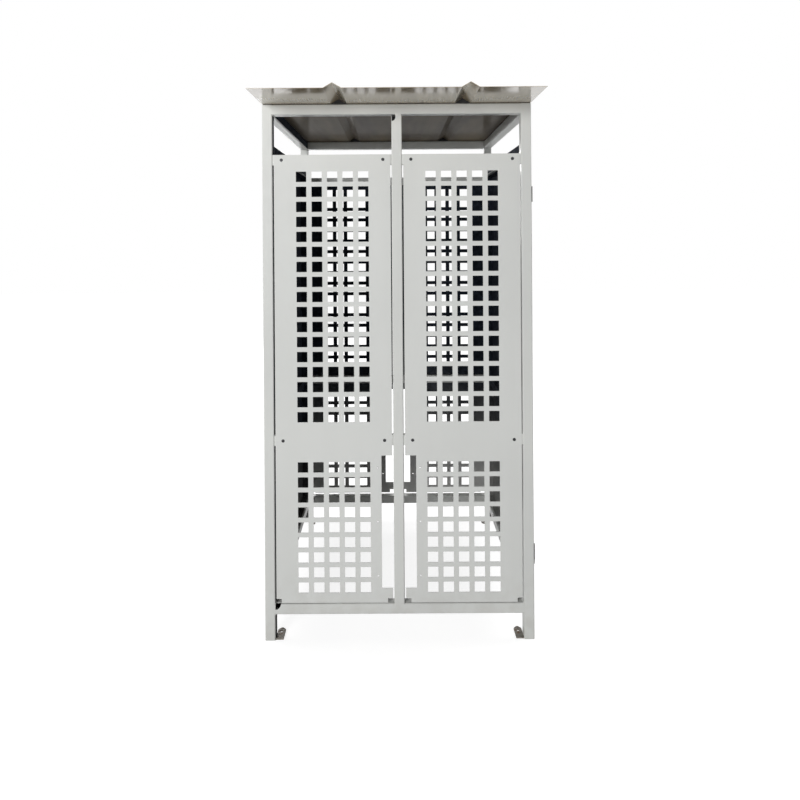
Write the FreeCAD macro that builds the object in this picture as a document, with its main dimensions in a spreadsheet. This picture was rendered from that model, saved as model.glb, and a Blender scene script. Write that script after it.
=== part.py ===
import FreeCAD, Part
import os

import Sketcher
from FreeCAD import Placement, Rotation, Vector

# Solar shelter: a welded square-tube cage with perforated end walls, a solid left wall,
# a hinged door on the right, a ribbed sheet roof and a flat solar module on the roof.
# Millimetres. +Z is up, -Y is the front, the origin is on the floor at the centre of the cage.

# Driving sizes, each one set by itself

SIZES = [
    ("tube_size", 40, "outside of the square frame tube"),
    ("tube_wall", 2, "wall of every tube"),
    ("tube_corner", 3, "bevel of the frame tubes' outside corners"),
    ("leg_clearance", 100, "floor to the underside of the bottom beams"),
    ("side_bay", 960, "clear depth between the front and rear posts"),
    ("vent_gap", 154, "open height between the end walls and the top beams"),
    ("post_vent_radius", 16, "cropped vent near the top of the front centre post"),
    ("post_vent_drop", 10, "underside of the top beam to the middle of that vent"),
    ("beam_vent_radius", 21, "cropped vent at the left end of the front bottom beam"),
    ("vent_depth", 12, "depth of both vents from the front face of their tube"),
    ("rail_depth", 20, "depth of the rails that carry the end panels"),
    ("panel_gap", 5, "gap between a panel or the door and the tubes round it"),
    ("panel_thickness", 2, "sheet of the end panels"),
    ("hole_size", 40, "side of a square perforation"),
    ("hole_columns", 5, "perforations across a panel"),
    ("column_pitch", 60, "perforation pitch across a panel"),
    ("row_pitch", 58, "perforation pitch up a panel"),
    ("lower_rows", 9, "rows of perforations below the solid band"),
    ("upper_rows", 17, "rows of perforations above the solid band"),
    ("panel_side_margin", 85, "panel edge to the first column"),
    ("panel_bottom_margin", 39, "panel bottom to the first row"),
    ("solid_band", 154, "plain band between the two blocks of rows"),
    ("panel_top_margin", 65, "last row to the panel top"),
    ("corner_cut_width", 20, "cut-out at the bottom corners of a panel"),
    ("corner_cut_height", 17, "height of that cut-out"),
    ("notch_depth", 42, "depth of the slot beside the centre post"),
    ("notch_rise", 56, "panel bottom to the slot"),
    ("notch_height", 511, "height of the slot"),
    ("notch_holes", 3, "small fixing holes along the slot"),
    ("notch_hole_radius", 3, "size of those holes"),
    ("notch_hole_inset", 15, "slot edge to those holes"),
    ("notch_hole_pitch", 209, "spacing of those holes"),
    ("mid_rail_rise", 83, "top of the lower rows to the middle rail's centre"),
    ("plate_width", 30, "base plate across the shelter, from the side of its post"),
    ("plate_depth", 69, "base plate from front to back"),
    ("plate_thickness", 6, "base plate thickness"),
    ("plate_setback", 5, "end face of the post to the base plate"),
    ("plate_corner", 12, "bevelled corners at the free end of a base plate"),
    ("anchor_radius", 6, "anchor hole in a base plate"),
    ("anchor_inset_x", 15, "side of the post to the anchor hole"),
    ("anchor_inset_y", 45, "post's end of a plate to its anchor hole"),
    ("skin_thickness", 1.5, "sheet of the left wall and of the door"),
    ("skin_return", 30, "depth of the folded edges of those sheets"),
    ("stiffener_depth", 20, "depth of the tube across the back of those sheets"),
    ("hinge_radius", 6, "hinge knuckle"),
    ("hinge_half", 30, "height of half a hinge"),
    ("hinge_leaf", 36, "hinge axis to the end of a leaf"),
    ("hinge_leaf_thickness", 3, "thickness of a leaf"),
    ("hinge_face_gap", 0.3, "gap between the two halves"),
    ("hinge_pin_radius", 3, "hinge pin"),
    ("hinge_pin_clearance", 0.05, "room round the pin in the door half"),
    ("hinge_pin_reach", 24, "pin length above the lower half"),
    ("hinge_pin_room", 1, "room over the end of the pin"),
    ("lower_hinge_inset", 173, "door bottom to the lower hinge"),
    ("upper_hinge_inset", 150, "door top to the upper hinge"),
    ("latch_rise", 855, "door bottom to the sliding bolt"),
    ("latch_edge", 6, "door edge to the bolt's plate"),
    ("latch_plate_length", 90, "length of the bolt's plate"),
    ("latch_plate_height", 50, "height of the bolt's plate"),
    ("latch_plate_thickness", 2.5, "thickness of the bolt's plate"),
    ("latch_axis", 12, "door face to the bolt's axis"),
    ("latch_bar", 12, "side of the sliding bolt's square bar"),
    ("latch_bar_length", 88, "length of that bar"),
    ("latch_tip_inset", 3, "door edge to the tip of the drawn bolt"),
    ("latch_clearance", 0.3, "room round the bar in its guides and keeper"),
    ("latch_guide_width", 12, "width of a guide along the bar"),
    ("latch_guide_wall", 4, "metal round the bar in a guide or the keeper"),
    ("latch_handle_side", 10, "side of the bolt's square handle"),
    ("latch_handle_reach", 30, "bolt's axis to the end of its handle"),
    ("latch_handle_gap", 4, "guide to the handle of the drawn bolt"),
    ("keeper_gap", 4, "edge of the rear post to the keeper"),
    ("keeper_width", 22, "length of the keeper along the bolt"),
    ("seal_thickness", 2, "rubber strip between the top beams and the roof"),
    ("seal_setback", 4, "outer faces of the beams to the rubber strip"),
    ("roof_thickness", 1.5, "roof sheet"),
    ("front_overhang", 265, "roof past the front of the cage"),
    ("rear_overhang", 265, "roof past the rear of the cage"),
    ("rib_width", 62, "foot of a folded rib"),
    ("rib_height", 18, "height of a folded rib"),
    ("left_rib_inset", 297, "left edge of the roof to the left rib's ridge"),
    ("right_rib_inset", 264, "right edge of the roof to the right rib's ridge"),
    ("rib_clearance", 2, "ribs to the underside of the solar module"),
    ("module_width", 670, "solar module across the shelter"),
    ("module_length", 1020, "solar module from front to back"),
    ("module_height", 35, "solar module's edge frame"),
    ("module_wall", 2, "wall of the edge frame's section"),
    ("module_flange", 25, "bottom flange of the edge frame"),
    ("module_lip", 9, "lips that hold the glass, from the outer face"),
    ("glass_thickness", 4, "glass and cells"),
    ("glass_edge_gap", 1, "edge frame's wall to the glass"),
    ("junction_width", 110, "junction box across the module"),
    ("junction_length", 85, "junction box along the module"),
    ("junction_height", 18, "junction box"),
    ("junction_inset", 60, "rear end of the module to the junction box"),
    ("bracket_thickness", 3, "sheet of a module bracket"),
    ("bracket_width", 50, "module bracket along the module"),
    ("bracket_foot", 35, "foot of a bracket on the roof"),
    ("bracket_shelf", 22, "shelf of a bracket under the module"),
    ("bracket_gap", 0.5, "module to the upright of a bracket"),
    ("bracket_inset", 180, "end of the module to the middle of a bracket"),
]

DOC = FreeCAD.newDocument("solar_shelter")
DIMS = DOC.addObject("Spreadsheet::Sheet", "dims")
for line, (alias, size, meaning) in enumerate(SIZES, start=1):
    DIMS.set(f"A{line}", alias)
    DIMS.set(f"B{line}", str(size))
    DIMS.setAlias(f"B{line}", alias)
    DIMS.set(f"C{line}", meaning)
DOC.recompute()

# Sizes that follow from the driving ones, written as expressions on the sheet

TUBE = "dims.tube_size"
WALL = "dims.tube_wall"
GAP = "dims.panel_gap"
LOWER_BLOCK = "((dims.lower_rows - 1) * dims.row_pitch + dims.hole_size)"
UPPER_BLOCK = "((dims.upper_rows - 1) * dims.row_pitch + dims.hole_size)"
COLUMNS_SPAN = "((dims.hole_columns - 1) * dims.column_pitch)"
PANEL_WIDTH = f"(2 * dims.panel_side_margin + {COLUMNS_SPAN} + dims.hole_size)"
BAND_BOTTOM = f"(dims.panel_bottom_margin + {LOWER_BLOCK})"
BAND_TOP = f"({BAND_BOTTOM} + dims.solid_band)"
PANEL_HEIGHT = f"({BAND_TOP} + {UPPER_BLOCK} + dims.panel_top_margin)"
BAY = f"({PANEL_WIDTH} + 2 * {GAP})"
HALF_SPAN = f"({BAY} + {TUBE} / 2)"
HALF_WIDTH = f"({HALF_SPAN} + {TUBE})"
HALF_SIDE = "(dims.side_bay / 2)"
HALF_DEPTH = f"({HALF_SIDE} + {TUBE})"
BEAM_TOP = f"(dims.leg_clearance + {TUBE})"
PANEL_FOOT = f"({BEAM_TOP} + {GAP})"
PANEL_TOP = f"({PANEL_FOOT} + {PANEL_HEIGHT})"
TOP_BEAM = f"({PANEL_TOP} + dims.vent_gap)"
FRAME_TOP = f"({TOP_BEAM} + {TUBE})"
ROOF_UNDER = f"({FRAME_TOP} + dims.seal_thickness)"
ROOF_TOP = f"({ROOF_UNDER} + dims.roof_thickness)"
MID_RAIL = f"({PANEL_FOOT} + {BAND_BOTTOM} + dims.mid_rail_rise - {TUBE} / 2)"
TOP_RAIL = f"({PANEL_TOP} - {TUBE})"
DOOR_HEIGHT = f"({PANEL_HEIGHT} - {GAP})"
DOOR_END = f"({HALF_SIDE} - {GAP})"
HINGE_X = f"({HALF_WIDTH} + dims.hinge_radius)"
HINGE_Y = f"(-{HALF_SIDE} + {GAP} / 2)"
LOWER_HINGE = f"({PANEL_FOOT} + dims.lower_hinge_inset)"
UPPER_HINGE = f"({PANEL_FOOT} + {DOOR_HEIGHT} - dims.upper_hinge_inset)"
LATCH_X = f"({HALF_WIDTH} + dims.latch_axis)"
LATCH_Z = f"({PANEL_FOOT} + dims.latch_rise)"
LATCH_START = f"({DOOR_END} - dims.latch_edge - dims.latch_plate_length)"
LATCH_ROOM = "(dims.latch_bar + 2 * dims.latch_clearance)"
LATCH_HALF = "(dims.latch_bar / 2 + dims.latch_guide_wall)"
STAND_OFF = "(dims.rib_height + dims.rib_clearance)"
MODULE_UNDER = f"({ROOF_TOP} + {STAND_OFF})"
GLASS_TOP = "(dims.module_height - dims.module_wall)"
GLASS_UNDER = f"({GLASS_TOP} - dims.glass_thickness)"

UPRIGHT = Rotation(Vector(1, 0, 0), 90)
ALONG_Y = Rotation(Vector(1, 0, 0), -90)
HALF_TURN = Rotation(Vector(0, 0, 1), 180)
LEVEL = Rotation()
NODES = []


# Helpers


def value(expression):
    """Number that an expression on the sheet gives."""
    return float(DIMS.evalExpression(str(expression).replace("dims.", "")))


def bind(thing, sizes):
    """Ties properties of an object to expressions on the sheet."""
    for name, expression in sizes.items():
        thing.setExpression(name, str(expression))
    return thing


def put(thing, place, rotation=LEVEL):
    """Turns an object, then ties the place of its own origin to the sheet."""
    thing.Placement = Placement(Vector(), rotation)
    steps = {f"Placement.Base.{axis}": step for axis, step in zip("xyz", place)}
    return bind(thing, steps)


def new_body(label, place, rotation=LEVEL):
    """Empty body for one sub-part, listed for the export."""
    body = DOC.addObject("PartDesign::Body", label)
    body.Label = label
    NODES.append(body)
    return put(body, place, rotation)


def add_box(body, kind, name, sizes, corner=(0, 0, 0)):
    """Additive or subtractive box in a body, from its lowest corner."""
    box = body.newObject(f"PartDesign::{kind}Box", name)
    bind(box, dict(zip(("Length", "Width", "Height"), sizes)))
    return put(box, corner)


def add_cylinder(body, kind, name, radius, length, start, rotation=LEVEL):
    """Additive or subtractive cylinder in a body, from the middle of its first end."""
    cylinder = body.newObject(f"PartDesign::{kind}Cylinder", name)
    bind(cylinder, {"Radius": radius, "Height": length})
    return put(cylinder, start, rotation)


def bevel_edges(body, base, name, size, chosen):
    """Bevels the edges of a feature for which the test holds."""
    DOC.recompute()
    edges = [f"Edge{i}" for i, edge in enumerate(base.Shape.Edges, start=1) if chosen(edge)]
    bevel = body.newObject("PartDesign::Chamfer", name)
    bevel.Base = (base, edges)
    return bind(bevel, {"Size": size})


def new_sketch(body, name, role):
    """Sketch on one of the body's own origin planes."""
    sketch = body.newObject("Sketcher::SketchObject", name)
    plane = next(p for p in body.Origin.OriginFeatures if p.Role == role)
    sketch.AttachmentSupport = [(plane, "")]
    sketch.MapMode = "FlatFace"
    return sketch


def hold(sketch, kind, index, point, expression):
    """Ties one coordinate of a sketch point to the sheet; zero lies on the axis."""
    if expression == 0:
        axis = -2 if kind == "DistanceX" else -1
        sketch.addConstraint(Sketcher.Constraint("PointOnObject", index, point, axis))
        return
    rule = Sketcher.Constraint(kind, -1, 1, index, point, value(expression))
    sketch.setExpression(f"Constraints[{sketch.addConstraint(rule)}]", str(expression))


def add_outline(sketch, corners):
    """Closed outline of straight lines with every corner tied to the sheet."""
    points = [Vector(value(x), value(y), 0) for x, y in corners]
    first = sketch.GeometryCount
    count = len(points)
    for i in range(count):
        sketch.addGeometry(Part.LineSegment(points[i], points[(i + 1) % count]), False)
    for i, (x, y) in enumerate(corners):
        following = first + (i + 1) % count
        sketch.addConstraint(Sketcher.Constraint("Coincident", first + i, 2, following, 1))
        hold(sketch, "DistanceX", first + i, 1, x)
        hold(sketch, "DistanceY", first + i, 1, y)


def pad(body, sketch, name, length):
    """Extrudes a sketch along its normal."""
    feature = body.newObject("PartDesign::Pad", name)
    feature.Profile = sketch
    return bind(feature, {"Length": length})


def pocket(body, sketch, name):
    """Cuts a sketch right through the body, both ways from its plane."""
    feature = body.newObject("PartDesign::Pocket", name)
    feature.Profile = sketch
    feature.Midplane = True
    feature.Type = "ThroughAll"
    DOC.recompute()
    return feature


def repeat(body, feature, name, rows, columns=None):
    """Repeats a cut up its sketch, and across it too where columns are given."""
    grid = body.newObject("PartDesign::LinearPattern", name)
    grid.Originals = [feature]
    sketch = feature.Profile[0]
    count, span = rows
    grid.Direction = (sketch, ["V_Axis"])
    bind(grid, {"Occurrences": count, "Length": span})
    if columns:
        count, span = columns
        grid.Direction2 = (sketch, ["H_Axis"])
        bind(grid, {"Occurrences2": count, "Length2": span})
    body.Tip = grid
    DOC.recompute()


def same_again(original, label, place, rotation):
    """Another piece of a shape that is already there, in its own place."""
    body = new_body(label, place, rotation)
    shape = body.newObject("PartDesign::FeatureBase", f"{label}_shape")
    shape.BaseFeature = original
    body.Tip = shape


def tube(label, sizes, axis, place, rotation=LEVEL, bevelled=True):
    """Rectangular tube open along one axis; the outer corners of frame tubes are bevelled."""
    body = new_body(label, place, rotation)
    outer = add_box(body, "Additive", f"{label}_outside", sizes)
    along = "xyz".index(axis)

    def is_long(edge):
        start, end = (vertex.Point for vertex in edge.Vertexes)
        return abs((end - start).normalize()[along]) > 0.5

    if bevelled:
        bevel_edges(body, outer, f"{label}_corners", "dims.tube_corner", is_long)
    inner = [size if i == along else f"{size} - 2 * {WALL}" for i, size in enumerate(sizes)]
    corner = [0 if i == along else WALL for i in range(3)]
    add_box(body, "Subtractive", f"{label}_inside", inner, corner)
    return body


# End frames: the rear one is the front one turned half round


def turned(place, rear):
    """Place of a front piece, or of its copy on the rear end."""
    if not rear:
        return place
    x, y, z = place
    return f"-({x})", f"-({y})", z


def end_frame(end, rear):
    """Centre post, top and bottom beams and four rails of one end."""
    turn = HALF_TURN if rear else LEVEL
    sides = ("right", "left") if rear else ("left", "right")
    span = f"(2 * {BAY} + {TUBE})"

    def at(x, z, y=f"-{HALF_DEPTH}"):
        return turned((x, y, z), rear)

    post = f"{end}_centre_post"
    post_length = f"{TOP_BEAM} - {BEAM_TOP}"
    centre = tube(post, (TUBE, TUBE, post_length), "z", at(f"-{TUBE} / 2", BEAM_TOP), turn)
    tube(f"{end}_top_beam", (span, TUBE, TUBE), "x", at(f"-{HALF_SPAN}", TOP_BEAM), turn)
    low = f"{end}_bottom_beam"
    beam = tube(low, (span, TUBE, TUBE), "x", at(f"-{HALF_SPAN}", "dims.leg_clearance"), turn)
    if not rear:
        under_beam = (0, 0, f"{post_length} - dims.post_vent_drop")
        depth = "dims.vent_depth"
        radius = "dims.post_vent_radius"
        add_cylinder(centre, "Subtractive", f"{post}_vent", radius, depth, under_beam, ALONG_Y)
        left_end = (0, 0, TUBE)
        radius = "dims.beam_vent_radius"
        add_cylinder(beam, "Subtractive", f"{low}_vent", radius, depth, left_end, ALONG_Y)

    behind_panel = f"-{HALF_DEPTH} + dims.panel_thickness"
    starts = (f"-{HALF_SPAN}", f"{TUBE} / 2")
    for side, start in zip(sides, starts):
        for level, height in (("upper", TOP_RAIL), ("middle", MID_RAIL)):
            sizes = (BAY, "dims.rail_depth", TUBE)
            place = at(start, height, behind_panel)
            tube(f"{end}_{side}_{level}_rail", sizes, "x", place, turn, bevelled=False)


def end_panel(label, place, rotation):
    """Perforated sheet with a slot beside the centre post; its outer edge is at local x zero."""
    body = new_body(label, place, rotation)
    cut_x = "dims.corner_cut_width"
    cut_y = "dims.corner_cut_height"
    slot_x = f"{PANEL_WIDTH} - dims.notch_depth"
    slot_top = "dims.notch_rise + dims.notch_height"
    sheet = new_sketch(body, f"{label}_outline", "XY_Plane")
    add_outline(
        sheet,
        [
            (cut_x, 0),
            (f"{PANEL_WIDTH} - {cut_x}", 0),
            (f"{PANEL_WIDTH} - {cut_x}", cut_y),
            (PANEL_WIDTH, cut_y),
            (PANEL_WIDTH, "dims.notch_rise"),
            (slot_x, "dims.notch_rise"),
            (slot_x, slot_top),
            (PANEL_WIDTH, slot_top),
            (PANEL_WIDTH, PANEL_HEIGHT),
            (0, PANEL_HEIGHT),
            (0, cut_y),
            (cut_x, cut_y),
        ],
    )
    pad(body, sheet, f"{label}_sheet", "dims.panel_thickness")

    size = "dims.notch_hole_radius"
    flat = f"{size} * tan(30)"
    hole_x = f"{slot_x} - dims.notch_hole_inset"
    holes_span = "(dims.notch_holes - 1) * dims.notch_hole_pitch"
    hole_y = f"dims.notch_rise + dims.notch_height / 2 - {holes_span} / 2"
    half = [(f"-{flat}", f"-{size}"), (flat, f"-{size}"), (f"2 * {flat}", 0)]
    other_half = [(flat, size), (f"-{flat}", size), (f"-2 * {flat}", 0)]
    hexagon = new_sketch(body, f"{label}_fixing_hole", "XY_Plane")
    add_outline(hexagon, [(f"{hole_x} + {x}", f"{hole_y} + {y}") for x, y in half + other_half])
    first = pocket(body, hexagon, f"{label}_first_fixing_hole")
    repeat(body, first, f"{label}_fixing_holes", ("dims.notch_holes", holes_span))

    blocks = (
        ("lower", "dims.panel_bottom_margin", "dims.lower_rows"),
        ("upper", BAND_TOP, "dims.upper_rows"),
    )
    for block, foot, rows in blocks:
        left = "dims.panel_side_margin"
        right = f"{left} + dims.hole_size"
        top = f"{foot} + dims.hole_size"
        square = new_sketch(body, f"{label}_{block}_square", "XY_Plane")
        add_outline(square, [(left, foot), (right, foot), (right, top), (left, top)])
        first = pocket(body, square, f"{label}_{block}_first_hole")
        up = (rows, f"({rows} - 1) * dims.row_pitch")
        repeat(body, first, f"{label}_{block}_holes", up, ("dims.hole_columns", COLUMNS_SPAN))
    return body


def corner_leg(end, side):
    """Corner post down to the floor, with a base plate welded to its inner side for the anchor."""
    left = side == "left"
    front = end == "front"
    x = f"-{HALF_WIDTH}" if left else HALF_SPAN
    y = f"-{HALF_DEPTH}" if front else HALF_SIDE
    tube(f"{end}_{side}_post", (TUBE, TUBE, FRAME_TOP), "z", (x, y, 0))

    label = f"{end}_{side}_base_plate"
    inner_end = f"({HALF_DEPTH} - dims.plate_setback - dims.plate_depth)"
    x = f"-{HALF_SPAN}" if left else f"{HALF_SPAN} - dims.plate_width"
    y = f"-{inner_end} - dims.plate_depth" if front else inner_end
    body = new_body(label, (x, y, 0))
    sizes = ("dims.plate_width", "dims.plate_depth", "dims.plate_thickness")
    slab = add_box(body, "Additive", f"{label}_slab", sizes)
    free_y = value("dims.plate_depth") if front else 0
    half_thickness = value("dims.plate_thickness / 2")

    def is_free(edge):
        middle = edge.CenterOfMass
        return abs(middle.y - free_y) + abs(middle.z - half_thickness) < 0.001

    bevel_edges(body, slab, f"{label}_corners", "dims.plate_corner", is_free)
    hole_x = "dims.anchor_inset_x" if left else "dims.plate_width - dims.anchor_inset_x"
    hole_y = "dims.anchor_inset_y" if front else "dims.plate_depth - dims.anchor_inset_y"
    hole = (hole_x, hole_y, 0)
    length = "dims.plate_thickness"
    add_cylinder(body, "Subtractive", f"{label}_hole", "dims.anchor_radius", length, hole)


def folded_wall(label, place, sizes, outer_left):
    """Sheet with its four edges folded inwards; the skin is on the left or the right."""
    body = new_body(label, place)
    skin = "dims.skin_thickness"
    depth, width, height = sizes
    add_box(body, "Additive", f"{label}_outside", sizes)
    hollow = (f"{depth} - {skin}", f"{width} - 2 * {skin}", f"{height} - 2 * {skin}")
    start = (skin if outer_left else 0, skin, skin)
    add_box(body, "Subtractive", f"{label}_inside", hollow, start)


def wall_stiffener(label, length, inner_face, start):
    """Flat tube across the back of a folded wall, level with the middle rails."""
    sizes = ("dims.stiffener_depth", length, TUBE)
    tube(label, sizes, "y", (inner_face, start, MID_RAIL), bevelled=False)


def hinges():
    """Upper and lower hinge: a half with its pin on the post, and the half on the door that turns on it."""
    radius = "dims.hinge_radius"
    half = "dims.hinge_half"
    gap = "dims.hinge_face_gap"
    pin = "dims.hinge_pin_radius"
    reach = "dims.hinge_pin_reach"
    leaf_length = f"dims.hinge_leaf - {GAP} / 2"
    post_halves = new_body("hinge_post_halves", (HINGE_X, HINGE_Y, 0))
    door_halves = new_body("hinge_door_halves", (HINGE_X, HINGE_Y, 0))
    for level, height in (("lower", LOWER_HINGE), ("upper", UPPER_HINGE)):
        foot = f"{height} - {half}"
        add_cylinder(post_halves, "Additive", f"{level}_post_knuckle", radius, half, (0, 0, foot))
        leaf = ("dims.hinge_leaf_thickness", leaf_length, half)
        corner = (f"-{radius}", "-dims.hinge_leaf", foot)
        add_box(post_halves, "Additive", f"{level}_post_leaf", leaf, corner)
        add_cylinder(post_halves, "Additive", f"{level}_pin", pin, f"{half} + {reach}", (0, 0, foot))

        foot = f"{height} + {gap}"
        length = f"{half} - {gap}"
        add_cylinder(door_halves, "Additive", f"{level}_door_knuckle", radius, length, (0, 0, foot))
        leaf = ("dims.hinge_leaf_thickness", leaf_length, length)
        add_box(door_halves, "Additive", f"{level}_door_leaf", leaf, (f"-{radius}", f"{GAP} / 2", foot))
        fit = f"{pin} + dims.hinge_pin_clearance"
        depth = f"{reach} - {gap} + dims.hinge_pin_room"
        add_cylinder(door_halves, "Subtractive", f"{level}_door_bore", fit, depth, (0, 0, foot))


def latch():
    """Sliding bolt on the door, drawn back, and its keeper on the rear post."""
    width = "dims.latch_guide_width"
    plate_length = "dims.latch_plate_length"
    guide_reach = f"dims.latch_axis + {LATCH_HALF}"
    guide_height = f"2 * {LATCH_HALF}"
    room_x = f"dims.latch_axis - {LATCH_ROOM} / 2"
    room_z = f"-{LATCH_ROOM} / 2"

    bracket = new_body("bolt_bracket", (HALF_WIDTH, LATCH_START, LATCH_Z))
    plate = ("dims.latch_plate_thickness", plate_length, "dims.latch_plate_height")
    add_box(bracket, "Additive", "bolt_plate", plate, (0, 0, "-dims.latch_plate_height / 2"))
    for number, start in enumerate((0, f"{plate_length} - {width}"), start=1):
        block = (guide_reach, width, guide_height)
        add_box(bracket, "Additive", f"bolt_guide_{number}", block, (0, start, f"-{LATCH_HALF}"))
    room = (LATCH_ROOM, plate_length, LATCH_ROOM)
    add_box(bracket, "Subtractive", "bolt_guide_room", room, (room_x, 0, room_z))

    tip = f"({DOOR_END} - dims.latch_tip_inset)"
    bar_start = f"({tip} - dims.latch_bar_length)"
    half_bar = "dims.latch_bar / 2"
    bolt = new_body("slide_bolt", (LATCH_X, bar_start, LATCH_Z))
    bar = ("dims.latch_bar", "dims.latch_bar_length", "dims.latch_bar")
    add_box(bolt, "Additive", "bolt_bar", bar, (f"-{half_bar}", 0, f"-{half_bar}"))
    side = "dims.latch_handle_side"
    handle_y = f"{LATCH_START} + {width} + dims.latch_handle_gap - {bar_start}"
    handle = ("dims.latch_handle_reach", side, side)
    add_box(bolt, "Additive", "bolt_handle", handle, (0, handle_y, f"-{side} / 2"))

    keeper = new_body("bolt_keeper", (HALF_WIDTH, f"{HALF_SIDE} + dims.keeper_gap", LATCH_Z))
    block = (guide_reach, "dims.keeper_width", guide_height)
    add_box(keeper, "Additive", "keeper_block", block, (0, 0, f"-{LATCH_HALF}"))
    room = (LATCH_ROOM, "dims.keeper_width", LATCH_ROOM)
    add_box(keeper, "Subtractive", "keeper_room", room, (room_x, 0, room_z))


def roof_seals():
    """Rubber strips on the four top beams, under the roof sheet."""
    setback = "dims.seal_setback"
    width = f"({TUBE} - 2 * {setback})"
    half_x = f"({HALF_WIDTH} - {setback})"
    half_y = f"({HALF_DEPTH} - {setback})"
    across = (f"2 * {half_x}", width, "dims.seal_thickness")
    for end, y in (("front", f"-{half_y}"), ("rear", f"{half_y} - {width}")):
        body = new_body(f"{end}_roof_seal", (f"-{half_x}", y, FRAME_TOP))
        add_box(body, "Additive", f"{end}_seal_strip", across)
    along = (width, f"2 * ({half_y} - {width})", "dims.seal_thickness")
    for side, x in (("left", f"-{half_x}"), ("right", f"{half_x} - {width}")):
        body = new_body(f"{side}_roof_seal", (x, f"{width} - {half_y}", FRAME_TOP))
        add_box(body, "Additive", f"{side}_seal_strip", along)


def roof():
    """Flat sheet folded up into two sharp ribs that run from front to back."""
    body = new_body("roof_sheet", (f"-{HALF_WIDTH}", f"{HALF_DEPTH} + dims.rear_overhang", ROOF_UNDER))
    width = f"2 * {HALF_WIDTH}"
    sheet = "dims.roof_thickness"
    half = "(dims.rib_width / 2)"
    slant = f"sqrt({half} ^ 2 + dims.rib_height ^ 2)"
    outer_half = f"({half} + {sheet} * ({slant} - {half}) / dims.rib_height)"
    outer_ridge = f"dims.rib_height + {sheet} * {slant} / {half}"
    under = [(0, 0)]
    over = [(0, sheet)]
    for ridge in ("dims.left_rib_inset", f"{width} - dims.right_rib_inset"):
        under += [(f"{ridge} - {half}", 0), (ridge, "dims.rib_height"), (f"{ridge} + {half}", 0)]
        over += [(f"{ridge} - {outer_half}", sheet), (ridge, outer_ridge), (f"{ridge} + {outer_half}", sheet)]
    under.append((width, 0))
    over.append((width, sheet))
    profile = new_sketch(body, "roof_section", "XZ_Plane")
    add_outline(profile, under + over[::-1])
    pad(body, profile, "roof_fold", f"2 * {HALF_DEPTH} + dims.front_overhang + dims.rear_overhang")


def module_bar(side, length, place, rotation):
    """Mitred bar of the solar module's edge frame, outer face at local y zero."""
    label = f"module_frame_{side}"
    body = new_body(label, place, rotation)
    wall = "dims.module_wall"
    flange = "dims.module_flange"
    lip = "dims.module_lip"
    top = "dims.module_height"
    shelf = f"{GLASS_UNDER} - {wall}"
    section = new_sketch(body, f"{label}_section", "YZ_Plane")
    add_outline(
        section,
        [
            (0, 0),
            (flange, 0),
            (flange, wall),
            (wall, wall),
            (wall, shelf),
            (lip, shelf),
            (lip, GLASS_UNDER),
            (wall, GLASS_UNDER),
            (wall, GLASS_TOP),
            (lip, GLASS_TOP),
            (lip, top),
            (0, top),
        ],
    )
    pad(body, section, f"{label}_bar", length)
    mitre = new_sketch(body, f"{label}_mitre", "XY_Plane")
    add_outline(mitre, [(0, 0), (flange, flange), (0, flange)])
    add_outline(mitre, [(length, 0), (length, flange), (f"{length} - {flange}", flange)])
    pocket(body, mitre, f"{label}_ends")


def solar_module():
    """Edge frame, glass with cells, junction box and four folded brackets."""
    half_x = "dims.module_width / 2"
    half_y = "dims.module_length / 2"
    quarter = Rotation(Vector(0, 0, 1), 90)
    module_bar("front", "dims.module_width", (f"-{half_x}", f"-{half_y}", MODULE_UNDER), LEVEL)
    module_bar("rear", "dims.module_width", (half_x, half_y, MODULE_UNDER), HALF_TURN)
    module_bar("right", "dims.module_length", (half_x, f"-{half_y}", MODULE_UNDER), quarter)
    three_quarters = Rotation(Vector(0, 0, 1), 270)
    module_bar("left", "dims.module_length", (f"-{half_x}", half_y, MODULE_UNDER), three_quarters)

    edge = "(dims.module_wall + dims.glass_edge_gap)"
    corner = (f"{edge} - {half_x}", f"{edge} - {half_y}", f"{MODULE_UNDER} + {GLASS_UNDER}")
    sizes = (f"dims.module_width - 2 * {edge}", f"dims.module_length - 2 * {edge}", "dims.glass_thickness")
    add_box(new_body("module_glass", corner), "Additive", "module_laminate", sizes)

    rear = f"{half_y} - dims.junction_inset - dims.junction_length"
    under = f"{MODULE_UNDER} + {GLASS_UNDER} - dims.junction_height"
    box = new_body("module_junction_box", ("-dims.junction_width / 2", rear, under))
    case = ("dims.junction_width", "dims.junction_length", "dims.junction_height")
    add_box(box, "Additive", "junction_case", case)

    for end, sign in (("front", "-"), ("rear", "")):
        middle = f"{sign}({half_y} - dims.bracket_inset)"
        for side in ("left", "right"):
            module_bracket(f"{end}_{side}_module_bracket", middle, side == "left")


def module_bracket(label, middle, left):
    """Folded bracket: foot on the roof, upright, and a shelf under the module."""
    inner = "(dims.module_width / 2 + dims.bracket_gap - dims.bracket_shelf)"
    half = "dims.bracket_width / 2"
    place = (f"-{inner}", f"{middle} - {half}", ROOF_TOP)
    rotation = HALF_TURN
    if not left:
        place = (inner, f"{middle} + {half}", ROOF_TOP)
        rotation = LEVEL
    body = new_body(label, place, rotation)
    sheet = "dims.bracket_thickness"
    shelf = "dims.bracket_shelf"
    foot = f"{shelf} + dims.bracket_foot"
    fold = new_sketch(body, f"{label}_fold", "XZ_Plane")
    add_outline(
        fold,
        [
            (0, f"{STAND_OFF} - {sheet}"),
            (shelf, f"{STAND_OFF} - {sheet}"),
            (shelf, 0),
            (foot, 0),
            (foot, sheet),
            (f"{shelf} + {sheet}", sheet),
            (f"{shelf} + {sheet}", STAND_OFF),
            (0, STAND_OFF),
        ],
    )
    pad(body, fold, f"{label}_strip", "dims.bracket_width")


# The shelter, piece by piece

for end in ("front", "rear"):
    for side in ("left", "right"):
        corner_leg(end, side)
    end_frame(end, end == "rear")

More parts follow.
